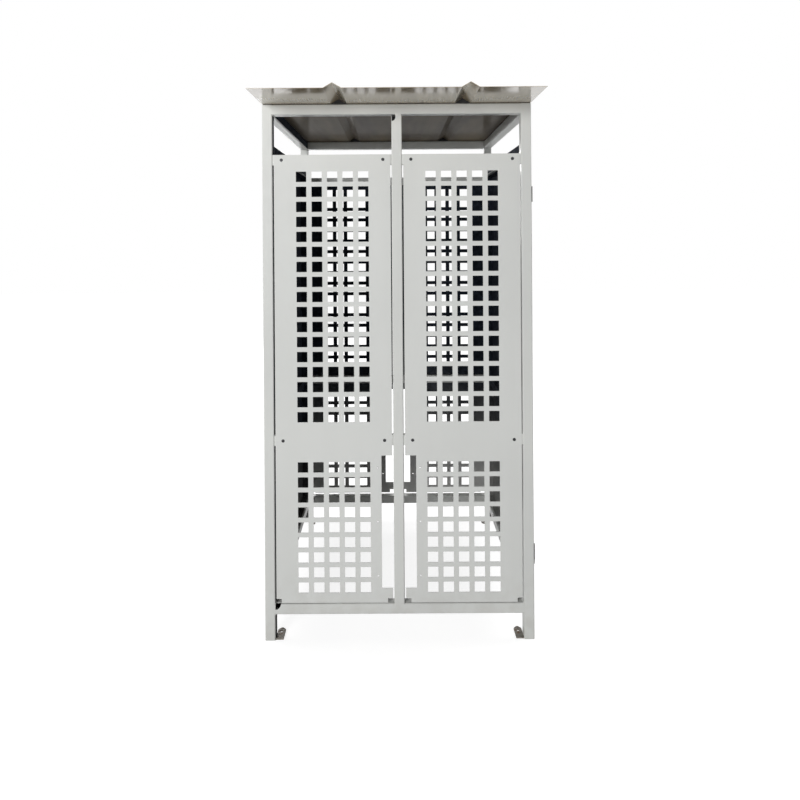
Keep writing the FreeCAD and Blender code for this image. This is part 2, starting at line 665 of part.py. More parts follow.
LEVELS = (("bottom_beam", "dims.leg_clearance"), ("side_rail", PANEL_TOP), ("top_beam", TOP_BEAM))
for side, x in (("left", f"-{HALF_WIDTH}"), ("right", f"{HALF_WIDTH} - {TUBE}")):
    for level, height in LEVELS:
        tube(f"{side}_{level}", (TUBE, "dims.side_bay", TUBE), "y", (x, f"-{HALF_SIDE}", height))

PANEL_EDGE = f"({HALF_SPAN} - {GAP})"
INNER_FACE = f"({HALF_DEPTH} - dims.panel_thickness)"
PANEL = end_panel("front_left_panel", (f"-{PANEL_EDGE}", f"-{INNER_FACE}", PANEL_FOOT), UPRIGHT)
FACING = HALF_TURN * UPRIGHT
same_again(PANEL, "front_right_panel", (PANEL_EDGE, f"-{HALF_DEPTH}", PANEL_FOOT), FACING)
same_again(PANEL, "rear_left_panel", (f"-{PANEL_EDGE}", HALF_DEPTH, PANEL_FOOT), UPRIGHT)
same_again(PANEL, "rear_right_panel", (PANEL_EDGE, INNER_FACE, PANEL_FOOT), FACING)

WALL_SIZES = ("dims.skin_return", "dims.side_bay", f"{PANEL_TOP} - {BEAM_TOP}")
folded_wall("left_side_panel", (f"-{HALF_WIDTH}", f"-{HALF_SIDE}", BEAM_TOP), WALL_SIZES, True)
wall_stiffener(
    "left_panel_stiffener",
    "dims.side_bay - 2 * dims.skin_thickness",
    f"-{HALF_WIDTH} + dims.skin_thickness",
    f"-{HALF_SIDE} + dims.skin_thickness",
)
DOOR_SIZES = ("dims.skin_return", f"2 * {DOOR_END}", DOOR_HEIGHT)
folded_wall("door_skin", (f"{HALF_WIDTH} - dims.skin_return", f"-{DOOR_END}", PANEL_FOOT), DOOR_SIZES, False)
wall_stiffener(
    "door_stiffener",
    f"2 * ({DOOR_END} - dims.skin_thickness)",
    f"{HALF_WIDTH} - dims.skin_thickness - dims.stiffener_depth",
    f"-{DOOR_END} + dims.skin_thickness",
)
hinges()
latch()
roof_seals()
roof()
solar_module()
DOC.recompute()

# Every object and solid is sound before anything is written

for thing in DOC.Objects:
    if {"Invalid", "Error"} & set(thing.State):
        raise RuntimeError(f"{thing.Label} failed: {thing.State}")
for node in NODES:
    if node.Shape.isNull() or not node.Shape.isValid():
        raise RuntimeError(f"{node.Label} has no sound shape")

os.makedirs("parts", exist_ok=True)
for node in NODES:
    node.Shape.exportStep(f"parts/{node.Label}.step")
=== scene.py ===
"""Looks of a solar shelter: finishes, welds, small fasteners and the studio round its fixed frame.

The construction is loaded as it was packed. Each class below dresses one sub-assembly and adds the small
pieces that the construction leaves out. Lengths are metres, angles degrees, colours linear.
"""

from __future__ import annotations

import logging
import math
from collections.abc import Callable, Iterable
from dataclasses import dataclass, field, replace
from enum import Enum
from typing import Any

import bpy
from mathutils import Matrix, Vector

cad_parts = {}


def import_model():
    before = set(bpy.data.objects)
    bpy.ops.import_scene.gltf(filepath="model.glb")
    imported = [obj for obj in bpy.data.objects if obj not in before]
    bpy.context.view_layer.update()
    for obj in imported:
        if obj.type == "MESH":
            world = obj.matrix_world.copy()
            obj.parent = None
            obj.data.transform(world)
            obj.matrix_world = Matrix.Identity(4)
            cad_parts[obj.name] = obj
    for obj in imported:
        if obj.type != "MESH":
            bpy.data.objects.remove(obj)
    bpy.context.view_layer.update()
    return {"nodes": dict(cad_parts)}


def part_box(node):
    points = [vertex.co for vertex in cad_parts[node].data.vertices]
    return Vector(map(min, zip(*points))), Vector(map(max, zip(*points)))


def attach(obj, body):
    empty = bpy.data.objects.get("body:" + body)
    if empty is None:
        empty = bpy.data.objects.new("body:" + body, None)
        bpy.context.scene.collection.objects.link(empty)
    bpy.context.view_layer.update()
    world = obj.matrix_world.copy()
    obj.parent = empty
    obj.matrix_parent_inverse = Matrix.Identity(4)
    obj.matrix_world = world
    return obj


LOG = logging.getLogger("shelter")
MM = 0.001
IMAGE_SIDE = 800

# Sizes of the cage, its sheets and its door: faces are measured outwards from the middle or up from the
# floor, and the limit of the painted shade on inner faces lies a face depth off a face
CAGE_HALF = 520.0 * MM
TUBE = 40.0 * MM
TUBE_MIDDLE = CAGE_HALF - 0.5 * TUBE
TUBE_INSIDE = CAGE_HALF - TUBE
BOTTOM_BEAM_MIDDLE = 120.0 * MM
WALL_TOP = 1875.0 * MM
WALL_SHEET = 1.5 * MM
PANEL_SHEET = 2.0 * MM
DOOR_HALF = 475.0 * MM
FACE_DEPTH = 0.3 * MM

Colour = tuple[float, float, float]
Point = tuple[float, float, float]
Range = tuple[float, float]

# Values between which a noise pattern varies most
NOISE_RANGE: Range = (0.3, 0.7)


class Facing(Enum):
    """Ways that a piece modelled along +Z can face, each as the angle and axis of its turn."""

    FRONT = (90.0, "X")
    REAR = (-90.0, "X")
    RIGHT = (90.0, "Y")

    @property
    def turn(self) -> Matrix:
        """Turn that brings +Z to this facing."""
        angle, axis = self.value
        return Matrix.Rotation(math.radians(angle), 4, axis)


class ShadedSide(Enum):
    """Side whose inner faces get painted shade, a dark colour, as the axis and sign of its outward direction.
    """

    NONE = ("X", 0.0)
    LEFT = ("X", -1.0)
    RIGHT = ("X", 1.0)
    REAR = ("Y", 1.0)


class Nodes:
    """Short ways to add nodes and links to a node tree."""

    def __init__(self, tree: bpy.types.NodeTree) -> None:
        """Takes the tree to work on."""
        self.tree = tree

    def add(self, kind: str, inputs: dict[Any, Any] | None = None, **settings: Any) -> bpy.types.Node:
        """Adds a node.

        Args:
            kind: Type name of the node.
            inputs: Values or sockets for its inputs, by name or number.
            **settings: Values for its own settings.

        Returns:
            The node.
        """
        node = self.tree.nodes.new(kind)
        for name, setting in settings.items():
            setattr(node, name, setting)
        for key, given in (inputs or {}).items():
            self.feed(node.inputs[key], given)
        return node

    def feed(self, socket: bpy.types.NodeSocket, given: Any) -> None:
        """Links a socket to an input, or sets the input's own value.

        Args:
            socket: Input to feed.
            given: Socket to link, or value to set.
        """
        if isinstance(given, bpy.types.NodeSocket):
            self.tree.links.new(given, socket)
        else:
            socket.default_value = given

    def calc(self, operation: str, *terms: Any) -> bpy.types.NodeSocket:
        """Works out a number from one to three terms."""
        return self.add("ShaderNodeMath", dict(enumerate(terms)), operation=operation).outputs[0]

    def span(
        self, value: Any, low: float, high: float, to_low: float = 0.0, to_high: float = 1.0
    ) -> bpy.types.NodeSocket:
        """Eases a value from one range to another, held at both ends.

        Args:
            value: Socket to read.
            low: Value that gives to_low.
            high: Value that gives to_high.
            to_low: First result.
            to_high: Last result.

        Returns:
            The eased value's socket.
        """
        inputs = {"Value": value, "From Min": low, "From Max": high, "To Min": to_low, "To Max": to_high}
        return self.add("ShaderNodeMapRange", inputs, interpolation_type="SMOOTHSTEP").outputs[0]


class Graph(Nodes):
    """Node tree of one material, with a principled shader and object coordinates."""

    def __init__(self, name: str) -> None:
        """Starts a material.

        Args:
            name: Name of the material.
        """
        self.material = bpy.data.materials.new(name)
        self.material.use_nodes = True
        super().__init__(self.material.node_tree)
        self.tree.nodes.clear()
        self.shader = self.add("ShaderNodeBsdfPrincipled")
        self.add("ShaderNodeOutputMaterial", {"Surface": self.shader.outputs[0]})
        self.place = self.add("ShaderNodeTexCoord").outputs["Object"]
        self.axes = self.add("ShaderNodeSeparateXYZ", {0: self.place}).outputs

    def set(self, **inputs: Any) -> None:
        """Sets or links inputs of the shader, with underscores for the spaces in their names."""
        for name, given in inputs.items():
            self.feed(self.shader.inputs[name.replace("_", " ")], given)

    def noise(self, scale: float, detail: float = 2.0, stretch: Point = (1, 1, 1)) -> bpy.types.NodeSocket:
        """Cloudy pattern on object coordinates.

        Args:
            scale: Spots per metre, about.
            detail: Number of finer layers.
            stretch: Factors for the coordinates along each axis.

        Returns:
            The pattern's value, around a half.
        """
        vector = self.place
        if stretch != (1, 1, 1):
            vector = self.add("ShaderNodeMapping", {"Vector": self.place, "Scale": stretch}).outputs[0]
        return self.add("ShaderNodeTexNoise", {"Vector": vector, "Scale": scale, "Detail": detail}).outputs[0]

    def mix(self, share: Any, first: Any, second: Any) -> bpy.types.NodeSocket:
        """Mixes two colours, given as triples or sockets, by a share."""
        ends = [end if isinstance(end, bpy.types.NodeSocket) else (*end, 1.0) for end in (first, second)]
        return self.add("ShaderNodeMix", {0: share, 6: ends[0], 7: ends[1]}, data_type="RGBA").outputs[2]

    def gloss(self, pattern: Any, roughness: float, swing: Range) -> bpy.types.NodeSocket:
        """Roughness that a pattern swings below and above its given value."""
        return self.span(pattern, *NOISE_RANGE, roughness + swing[0], roughness + swing[1])

    def bump(self, height: Any, distance: float, under: Any = None) -> bpy.types.NodeSocket:
        """Raises the surface by a pattern.

        Args:
            height: Pattern.
            distance: Height of the pattern in metres.
            under: Normal to add to, if any.

        Returns:
            The new normal.
        """
        inputs = {"Height": height, "Distance": distance, "Strength": 1.0}
        if under is not None:
            inputs["Normal"] = under
        return self.add("ShaderNodeBump", inputs).outputs[0]


@dataclass(frozen=True)
class Paint:
    """Satin powder coat with a fine orange peel, faint tone clouds, and dust low down.

    Painted shade covers the inner faces that lie inside painted_shade_from, measured outwards, inside
    painted_shade_reach across and below painted_shade_top: a dark navy colour standing in for the shade in
    the cage, which grades to a lighter grey towards its foot as painted floor-bounce light. A bore is given
    by two axes and the distances of its middle from the origin along them, and is coloured near black: bare
    steel, darkened further as painted shade. Scales are spots per metre.
    """

    name: str
    tone: Colour
    shade: Colour
    roughness: float = 0.42
    specular: float = 0.25
    cloud_scale: float = 1.7
    cloud_range: Range = (0.38, 0.62)
    streak_scale: float = 9.0
    streak_stretch: Point = (1.0, 1.0, 0.06)
    streak_share: float = 0.35
    gloss_scale: float = 34.0
    gloss_swing: Range = (-0.05, 0.06)
    peel_scale: float = 420.0
    peel_height: float = 0.05 * MM
    wave_scale: float = 3.2
    wave_height: float = 0.8 * MM
    dust: Colour = (0.43, 0.40, 0.35)
    dust_scale: float = 26.0
    dust_range: Range = (0.35, 0.7)
    dust_top: float = 0.35
    dust_share: float = 0.22
    # Painted shade: a dark colour on inner faces, standing in for the shade inside the cage
    painted_shade: ShadedSide = ShadedSide.NONE
    painted_shade_tone: Colour = (0.015, 0.019, 0.028)
    # Painted floor-bounce light: the painted shade grades to this lighter grey towards the floor
    painted_floor_light: Colour = (0.07, 0.07, 0.07)
    painted_floor_light_top: float = 0.60
    painted_floor_light_full: float = 0.15
    painted_shade_mottle: float = 2.1
    painted_shade_mottle_scale: float = 48.0
    painted_shade_mottle_range: Range = (0.35, 0.75)
    painted_floor_light_edge_scale: float = 7.0
    painted_floor_light_edge_height: float = 0.24
    painted_shade_from: float = CAGE_HALF - WALL_SHEET + FACE_DEPTH
    painted_shade_reach: float = CAGE_HALF
    painted_shade_top: float = 2.1
    painted_shade_roughness: float = 0.85
    bore: tuple[tuple[str, float], ...] = ()
    bore_half: float = 18.25 * MM
    bore_steel_and_shade_tone: Colour = (0.010, 0.010, 0.011)

    def make(self) -> bpy.types.Material:
        """Builds the coat's material.

        Returns:
            The material.
        """
        graph = Graph(self.name)
        clouds = graph.noise(self.cloud_scale, detail=3.0)
        clouds = graph.calc("MULTIPLY", clouds, 1.0 - self.streak_share)
        streaks = graph.noise(self.streak_scale, stretch=self.streak_stretch)
        blend = graph.calc("MULTIPLY_ADD", streaks, self.streak_share, clouds)
        colour = graph.mix(graph.span(blend, *self.cloud_range), self.tone, self.shade)
        low = graph.span(graph.axes["Z"], self.dust_top, 0.0, 0.0, self.dust_share)
        patches = graph.span(graph.noise(self.dust_scale, detail=6.0), *self.dust_range)
        colour = graph.mix(graph.calc("MULTIPLY", low, patches), colour, self.dust)
        gloss = graph.gloss(graph.noise(self.gloss_scale, detail=4.0), self.roughness, self.gloss_swing)
        # Inner faces take the painted shade colour and a duller gloss
        if self.painted_shade is not ShadedSide.NONE:
            inner = self.painted_shade_mask(graph)
            colour = graph.mix(inner, colour, self.painted_shade_colour(graph))
            gloss = graph.calc("MAXIMUM", gloss, graph.calc("MULTIPLY", inner, self.painted_shade_roughness))
        # The bore is coloured near black: bare steel, darkened further as painted shade
        if self.bore:
            colour = graph.mix(self.bore_mask(graph), colour, self.bore_steel_and_shade_tone)
        graph.set(Base_Color=colour, Roughness=gloss, Specular_IOR_Level=self.specular)
        peel = graph.bump(graph.noise(self.peel_scale), self.peel_height)
        graph.set(Normal=graph.bump(graph.noise(self.wave_scale, detail=1.0), self.wave_height, peel))
        return graph.material

    def painted_shade_colour(self, graph: Graph) -> bpy.types.NodeSocket:
        """Colour of the painted shade on inner faces, a little mottled, grading to lighter grey towards the
        floor as painted floor-bounce light.

        Args:
            graph: Material being built.

        Returns:
            The colour.
        """
        lighter = tuple(self.painted_shade_mottle * part for part in self.painted_shade_tone)
        mottle = graph.span(graph.noise(self.painted_shade_mottle_scale, detail=5.0), *self.painted_shade_mottle_range)
        deep_shade = graph.mix(mottle, self.painted_shade_tone, lighter)
        # Painted floor-bounce light: a lighter grey rises from the floor up to a wavy edge
        edge_wobble = graph.noise(self.painted_floor_light_edge_scale, detail=4.0)
        edge_wobble = graph.calc("MULTIPLY_ADD", edge_wobble, self.painted_floor_light_edge_height, -0.5 * self.painted_floor_light_edge_height)
        height = graph.calc("ADD", graph.axes["Z"], edge_wobble)
        floor_lit = graph.span(height, self.painted_floor_light_top, self.painted_floor_light_full)
        return graph.mix(floor_lit, deep_shade, self.painted_floor_light)

    def painted_shade_mask(self, graph: Graph) -> bpy.types.NodeSocket:
        """Share of the painted shade, which covers inner faces but not outer ones.

        Args:
            graph: Material being built.

        Returns:
            The mask.
        """
        axis, sign = self.painted_shade.value
        across = graph.axes["Y" if axis == "X" else "X"]
        outwards = graph.calc("MULTIPLY", graph.axes[axis], sign)
        inside = graph.calc("LESS_THAN", outwards, self.painted_shade_from)
        reach = graph.calc("LESS_THAN", graph.calc("ABSOLUTE", across), self.painted_shade_reach)
        below = graph.calc("LESS_THAN", graph.axes["Z"], self.painted_shade_top)
        return graph.calc("MULTIPLY", graph.calc("MULTIPLY", inside, reach), below)

    def bore_mask(self, graph: Graph) -> bpy.types.NodeSocket:
        """One on the walls of the tube's bore, and nought on its outside.

        Args:
            graph: Material being built.

        Returns:
            The mask.
        """
        offsets = []
        for axis, middle in self.bore:
            distance = graph.calc("SUBTRACT", graph.calc("ABSOLUTE", graph.axes[axis]), middle)
            offsets.append(graph.calc("ABSOLUTE", distance))
        return graph.calc("LESS_THAN", graph.calc("MAXIMUM", *offsets), self.bore_half)


@dataclass(frozen=True)
class RoofCoat:
    """Warm grey coil coat, glossy under the overhangs, dull in the cage and on top: dark brown in the cage as
    painted shade, dusty on top.
    """

    name: str = "roof_coat"
    tone: Colour = (0.51, 0.42, 0.285)
    shade: Colour = (0.48, 0.395, 0.265)
    # Painted shade: the dark brown that the sheet takes inside the cage
    inner_painted_shade: Colour = (0.075, 0.054, 0.032)
    top_film: Colour = (0.40, 0.37, 0.32)
    clean_roughness: float = 0.10
    dull_roughness: float = 0.70
    specular: float = 0.25
    coat_index: float = 1.8
    coat_roughness: float = 0.13
    inner_gloss: float = 0.11
    shade_edge: float = 40.0 * MM
    top_tilt: Range = (0.1, 0.4)
    line_scale: float = 130.0
    line_stretch: Point = (1.0, 0.012, 1.0)
    line_share: Range = (0.2, 0.8)
    line_height: float = 0.002 * MM
    cloud_scale: float = 5.0
    cloud_stretch: Point = (1.0, 0.15, 1.0)
    cloud_range: Range = (0.35, 0.65)
    shade_and_dust_share: Range = (0.7, 1.0)
    gloss_scale: float = 60.0
    gloss_swing: Range = (0.0, 0.05)

    def make(self) -> bpy.types.Material:
        """Builds the coat's material.

        Returns:
            The material.
        """
        graph = Graph(self.name)
        lines = graph.noise(self.line_scale, detail=3.0, stretch=self.line_stretch)
        clouds = graph.noise(self.cloud_scale, detail=3.0, stretch=self.cloud_stretch)
        clouds = graph.span(clouds, *self.cloud_range, *self.shade_and_dust_share)
        colour = graph.mix(graph.span(lines, *NOISE_RANGE, *self.line_share), self.tone, self.shade)
        outwards = graph.calc("ABSOLUTE", graph.axes["Y"])
        inside = graph.span(outwards, TUBE_MIDDLE, TUBE_MIDDLE - self.shade_edge)
        normal = graph.add("ShaderNodeNewGeometry").outputs["True Normal"]
        upward = graph.add("ShaderNodeSeparateXYZ", {0: normal}).outputs["Z"]
        on_top = graph.span(upward, *self.top_tilt)
        # Inside the cage the colour turns to the dark brown painted shade; on top it turns to grey dust
        colour = graph.mix(graph.calc("MULTIPLY", inside, clouds), colour, self.inner_painted_shade)
        colour = graph.mix(graph.calc("MULTIPLY", on_top, clouds), colour, self.top_film)
        dull = graph.calc("MAXIMUM", inside, on_top)
        spots = graph.noise(self.gloss_scale, detail=4.0)
        base = graph.gloss(spots, self.clean_roughness, self.gloss_swing)
        extra = graph.calc("MULTIPLY", dull, self.dull_roughness - self.clean_roughness)
        graph.set(Base_Color=colour, Specular_IOR_Level=self.specular)
        graph.set(Roughness=graph.calc("ADD", base, extra))
        under = graph.span(inside, 0.0, 1.0, 1.0, self.inner_gloss)
        clear = graph.calc("SUBTRACT", 1.0, on_top)
        graph.set(Coat_Weight=graph.calc("MULTIPLY", under, clear), Coat_Roughness=self.coat_roughness)
        graph.set(Coat_IOR=self.coat_index, Normal=graph.bump(lines, self.line_height))
        return graph.material


@dataclass(frozen=True)
class Metal:
    """Metal with a drawn grain, tone spots and patches of brown rust."""

    name: str
    tone: Colour
    shade: Colour
    metallic: float = 1.0
    roughness: float = 0.34
    grain: Point = (1.0, 1.0, 1.0)
    grain_scale: float = 180.0
    grain_height: float = 0.02 * MM
    gloss_swing: Range = (-0.08, 0.10)
    spot_scale: float = 45.0
    spot_range: Range = (0.32, 0.68)
    rust: Colour = (0.16, 0.085, 0.04)
    rust_share: float = 0.0
    rust_scale: float = 70.0
    rust_start: float = 0.70
    rust_spread: float = 0.4
    rust_fade: float = 0.08
    rust_roughness: float = 0.8
    specular: float = 0.5

    def make(self) -> bpy.types.Material:
        """Builds the metal's material.

        Returns:
            The material.
        """
        graph = Graph(self.name)
        spots = graph.noise(self.spot_scale, detail=5.0)
        drawn = graph.noise(self.grain_scale, detail=3.0, stretch=self.grain)
        colour = graph.mix(graph.span(spots, *self.spot_range), self.tone, self.shade)
        gloss = graph.gloss(drawn, self.roughness, self.gloss_swing)
        if self.rust_share > 0:
            edge = self.rust_start - self.rust_spread * self.rust_share
            patches = graph.noise(self.rust_scale, detail=7.0)
            patches = graph.span(patches, edge - self.rust_fade, edge + self.rust_fade)
            colour = graph.mix(patches, colour, self.rust)
            gloss = graph.calc("MAXIMUM", gloss, graph.calc("MULTIPLY", patches, self.rust_roughness))
            graph.set(Metallic=graph.span(patches, 0.0, 1.0, self.metallic, 0.0))
        else:
            graph.set(Metallic=self.metallic)
        graph.set(Base_Color=colour, Roughness=gloss, Specular_IOR_Level=self.specular)
        graph.set(Normal=graph.bump(drawn, self.grain_height))
        return graph.material


@dataclass(frozen=True)
class DarkPolymer:
    """Dull black plastic or rubber with a fine moulded texture."""

    name: str
    tone: Colour = (0.016, 0.016, 0.017)
    shade: Colour = (0.028, 0.028, 0.030)
    roughness: float = 0.55
    tone_scale: float = 40.0
    tone_range: Range = (0.35, 0.7)
    gloss_scale: float = 90.0
    gloss_swing: Range = (-0.06, 0.1)
    texture_scale: float = 900.0
    texture_height: float = 0.06 * MM

    def make(self) -> bpy.types.Material:
        """Builds the polymer's material.

        Returns:
            The material.
        """
        graph = Graph(self.name)
        clouds = graph.span(graph.noise(self.tone_scale, detail=4.0), *self.tone_range)
        spots = graph.noise(self.gloss_scale, detail=3.0)
        graph.set(Base_Color=graph.mix(clouds, self.tone, self.shade))
        graph.set(Roughness=graph.gloss(spots, self.roughness, self.gloss_swing))
        graph.set(Normal=graph.bump(graph.noise(self.texture_scale), self.texture_height))
        return graph.material


@dataclass(frozen=True)
class CellGlass:
    """Glass over rows of blue crystalline cells on a white sheet, with silver conductor lines."""

    name: str = "cell_glass"
    columns: int = 4
    rows: int = 9
    cell_width: float = 0.156
    cell_length: float = 0.104
    gap: float = 0.003
    busbars: int = 3
    busbar_width: float = 0.0016
    cell_dark: Colour = (0.005, 0.012, 0.046)
    cell_light: Colour = (0.012, 0.028, 0.105)
    sheet: Colour = (0.62, 0.64, 0.65)
    silver: Colour = (0.50, 0.52, 0.54)
    crystal_scale: float = 95.0
    crystal_share: float = 0.8
    roughness: float = 0.05
    gloss_scale: float = 30.0
    gloss_swing: Range = (0.0, 0.06)
    wave_scale: float = 4.0
    wave_height: float = 0.1 * MM
    specular: float = 0.25

    def make(self) -> bpy.types.Material:
        """Builds the glass's material from the grid of cells.

        Returns:
            The material.
        """
        graph = Graph(self.name)
        across = self.cell_mask(graph, "X", self.columns, self.cell_width)
        along = self.cell_mask(graph, "Y", self.rows, self.cell_length)
        cell = graph.calc("MULTIPLY", across, along)
        crystals = graph.add("ShaderNodeTexVoronoi", {"Vector": graph.place, "Scale": self.crystal_scale})
        grain = graph.add("ShaderNodeSeparateColor", {0: crystals.outputs["Color"]}).outputs[0]
        light = graph.calc("MULTIPLY", grain, self.crystal_share)
        wafer = graph.mix(light, self.cell_dark, self.cell_light)
        wafer = graph.mix(self.busbar_mask(graph), wafer, self.silver)
        graph.set(Base_Color=graph.mix(cell, self.sheet, wafer), Specular_IOR_Level=self.specular)
        spots = graph.noise(self.gloss_scale, detail=4.0)
        graph.set(Roughness=graph.gloss(spots, self.roughness, self.gloss_swing))
        graph.set(Normal=graph.bump(graph.noise(self.wave_scale, detail=1.0), self.wave_height))
        return graph.material

    def cell_mask(self, graph: Graph, axis: str, count: int, size: float) -> bpy.types.NodeSocket:
        """One where a row of cells lies along an axis, and nought in its gaps and past its ends.

        Args:
            graph: Material being built.
            axis: X or Y.
            count: Cells along the axis.
            size: Length of a cell along the axis.

        Returns:
            The mask.
        """
        pitch = size + self.gap
        shifted = graph.calc("ADD", graph.axes[axis], 0.5 * count * pitch)
        inside = graph.calc("COMPARE", graph.axes[axis], 0.0, 0.5 * count * pitch)
        place = graph.calc("MODULO", shifted, pitch)
        return graph.calc("MULTIPLY", inside, graph.calc("COMPARE", place, 0.5 * pitch, 0.5 * size))

    def busbar_mask(self, graph: Graph) -> bpy.types.NodeSocket:
        """One on the silver lines that run along the module over every column of cells.

        Args:
            graph: Material being built.

        Returns:
            The mask.
        """
        pitch = self.cell_width + self.gap
        line_pitch = pitch / self.busbars
        shifted = graph.calc("ADD", graph.axes["X"], self.columns * pitch)
        place = graph.calc("MODULO", shifted, line_pitch)
        return graph.calc("COMPARE", place, 0.5 * line_pitch, 0.5 * self.busbar_width)


Finish = Paint | RoofCoat | Metal | DarkPolymer | CellGlass


class Bench:
    """Modelling steps, as done by hand: primitives, edit-mode operators and copies."""

    upright: float = 0.9
    level_reach: float = 0.001 * MM

    @staticmethod
    def clear() -> None:
        """Leaves edit mode and deselects everything."""
        if bpy.context.object is not None and bpy.context.object.mode != "OBJECT":
            bpy.ops.object.mode_set(mode="OBJECT")
        bpy.ops.object.select_all(action="DESELECT")

    @staticmethod
    def take(piece: bpy.types.Object) -> None:
        """Makes a piece the only selected one, and active.

        Args:
            piece: Object to take.
        """
        Bench.clear()
        bpy.context.view_layer.objects.active = piece
        piece.select_set(True)

    @staticmethod
    def edit_all(name: str) -> bpy.types.Object:
        """Names the active object and goes to edit mode with all of it selected.

        Args:
            name: New name of the object.

        Returns:
            The object.
        """
        piece = bpy.context.object
        piece.name = name
        bpy.ops.object.mode_set(mode="EDIT")
        bpy.ops.mesh.select_all(action="SELECT")
        return piece

    @staticmethod
    def face_outwards() -> None:
        """Selects the whole mesh and turns its faces outwards."""
        bpy.ops.mesh.select_all(action="SELECT")
        bpy.ops.mesh.normals_make_consistent(inside=False)

    @staticmethod
    def scrap(piece: bpy.types.Object) -> None:
        """Removes a pattern or tool that has done its work."""
        bpy.data.objects.remove(piece, do_unlink=True)

    @staticmethod
    def round_bar(name: str, radius: float, height: float, vertices: int) -> bpy.types.Object:
        """Adds a round bar that stands on the origin, along +Z.

        Args:
            name: Name of the new object.
            radius: Radius of the bar.
            height: Height of the bar.
            vertices: Sides of the bar.

        Returns:
            The object, active and selected.
        """
        Bench.clear()
        bpy.ops.mesh.primitive_cylinder_add(
            vertices=vertices, radius=radius, depth=height, location=(0, 0, 0.5 * height)
        )
        bar = bpy.context.object
        bar.name = name
        bpy.ops.object.transform_apply(location=True, rotation=True, scale=True)
        return bar

    @staticmethod
    def pick_faces(piece: bpy.types.Object, test: Callable[[bpy.types.MeshPolygon], bool]) -> None:
        """Goes to edit mode with only the faces that pass a test selected.

        Args:
            piece: Active object.
            test: Says whether a face is selected.
        """
        bpy.ops.object.mode_set(mode="EDIT")
        bpy.ops.mesh.select_mode(type="FACE")
        bpy.ops.mesh.select_all(action="DESELECT")
        bpy.ops.object.mode_set(mode="OBJECT")
        for face in piece.data.polygons:
            face.select = test(face)
        bpy.ops.object.mode_set(mode="EDIT")

    @staticmethod
    def top_face(piece: bpy.types.Object) -> None:
        """Selects the highest face that points up.

        Args:
            piece: Active object.
        """
        level = max(face.center.z for face in piece.data.polygons if face.normal.z > Bench.upright)
        lowest = level - Bench.level_reach
        Bench.pick_faces(piece, lambda face: face.normal.z > Bench.upright and face.center.z > lowest)

    @staticmethod
    def rise(height: float) -> None:
        """Extrudes the selected faces along Z."""
        bpy.ops.mesh.extrude_region_move(TRANSFORM_OT_translate={"value": (0, 0, height)})

    @staticmethod
    def cut(piece: bpy.types.Object, tool: bpy.types.Object) -> None:
        """Cuts a tool's shape out of a piece and removes the tool.

        Args:
            piece: Object to cut.
            tool: Object of the shape to cut out.
        """
        Bench.take(piece)
        modifier = piece.modifiers.new("socket", "BOOLEAN")
        modifier.operation = "DIFFERENCE"
        modifier.solver = "EXACT"
        modifier.object = tool
        bpy.ops.object.modifier_apply(modifier=modifier.name)
        Bench.scrap(tool)

    @staticmethod
    def smooth(piece: bpy.types.Object, angle: float = 40.0) -> None:
        """Shades a piece smooth up to an edge angle."""
        Bench.take(piece)
        bpy.ops.object.shade_smooth_by_angle(angle=math.radians(angle))

    @staticmethod
    def copy(pattern: bpy.types.Object, name: str, place: Matrix) -> bpy.types.Object:
        """Copies a pattern with its own mesh, put in place inside the mesh.

        Args:
            pattern: Object that stands on the origin.
            name: Name of the copy.
            place: Turn and place of the copy.

        Returns:
            The copy, whose object stays at the origin.
        """
        mesh = pattern.data.copy()
        mesh.name = name
        mesh.transform(place)
        piece = bpy.data.objects.new(name, mesh)
        bpy.context.scene.collection.objects.link(piece)
        return piece

    @staticmethod
    def join(pieces: Iterable[bpy.types.Object], name: str) -> bpy.types.Object:
        """Joins pieces into one, which keeps the first one's place and gets a new name.

        Args:
            pieces: Objects to join.
            name: New name.

        Returns:
            The joined object.
        """
        Bench.clear()
        group = list(pieces)
        for piece in group:
            piece.select_set(True)
        bpy.context.view_layer.objects.active = group[0]
        if len(group) > 1:
            bpy.ops.object.join()
        group[0].name = name
        return group[0]


@dataclass
class Palette:
    """Materials by finish, each built once when first asked for."""

    made: dict[str, bpy.types.Material] = field(default_factory=dict)

    def get(self, finish: Finish) -> bpy.types.Material:
        """Material of a finish.

        Args:
            finish: Finish that is asked for.

        Returns:
            Its material.
        """
        if finish.name not in self.made:
            self.made[finish.name] = finish.make()
        return self.made[finish.name]


FRAME_PAINT = Paint("frame_paint_coat", (0.70, 0.71, 0.685), (0.665, 0.675, 0.655), roughness=0.36)
# The bores of these tubes are coloured near black: bare steel, darkened further as painted shade
POST_PAINT = replace(FRAME_PAINT, name="centre_post_coat", bore=(("X", 0.0), ("Y", TUBE_MIDDLE)))
BEAM_PAINT = replace(
    FRAME_PAINT, name="bottom_beam_coat", bore=(("Y", TUBE_MIDDLE), ("Z", BOTTOM_BEAM_MIDDLE))
)
# These coats colour inner faces with painted shade, a dark colour standing in for the shade inside the cage
LEFT_POST_PAINT = replace(
    FRAME_PAINT,
    name="left_post_coat",
    painted_shade=ShadedSide.LEFT,
    painted_shade_from=TUBE_INSIDE + FACE_DEPTH,
    painted_shade_reach=CAGE_HALF - FACE_DEPTH,
)
LEFT_TUBE_PAINT = replace(LEFT_POST_PAINT, name="left_tube_coat", specular=0.1)
RIGHT_TUBE_PAINT = replace(LEFT_TUBE_PAINT, name="right_tube_coat", painted_shade=ShadedSide.RIGHT)
REAR_POST_PAINT = replace(LEFT_TUBE_PAINT, name="rear_post_coat", painted_shade=ShadedSide.REAR, painted_shade_top=WALL_TOP)
PANEL_PAINT = Paint("panel_paint_coat", (0.71, 0.72, 0.70), (0.68, 0.69, 0.67), roughness=0.44)
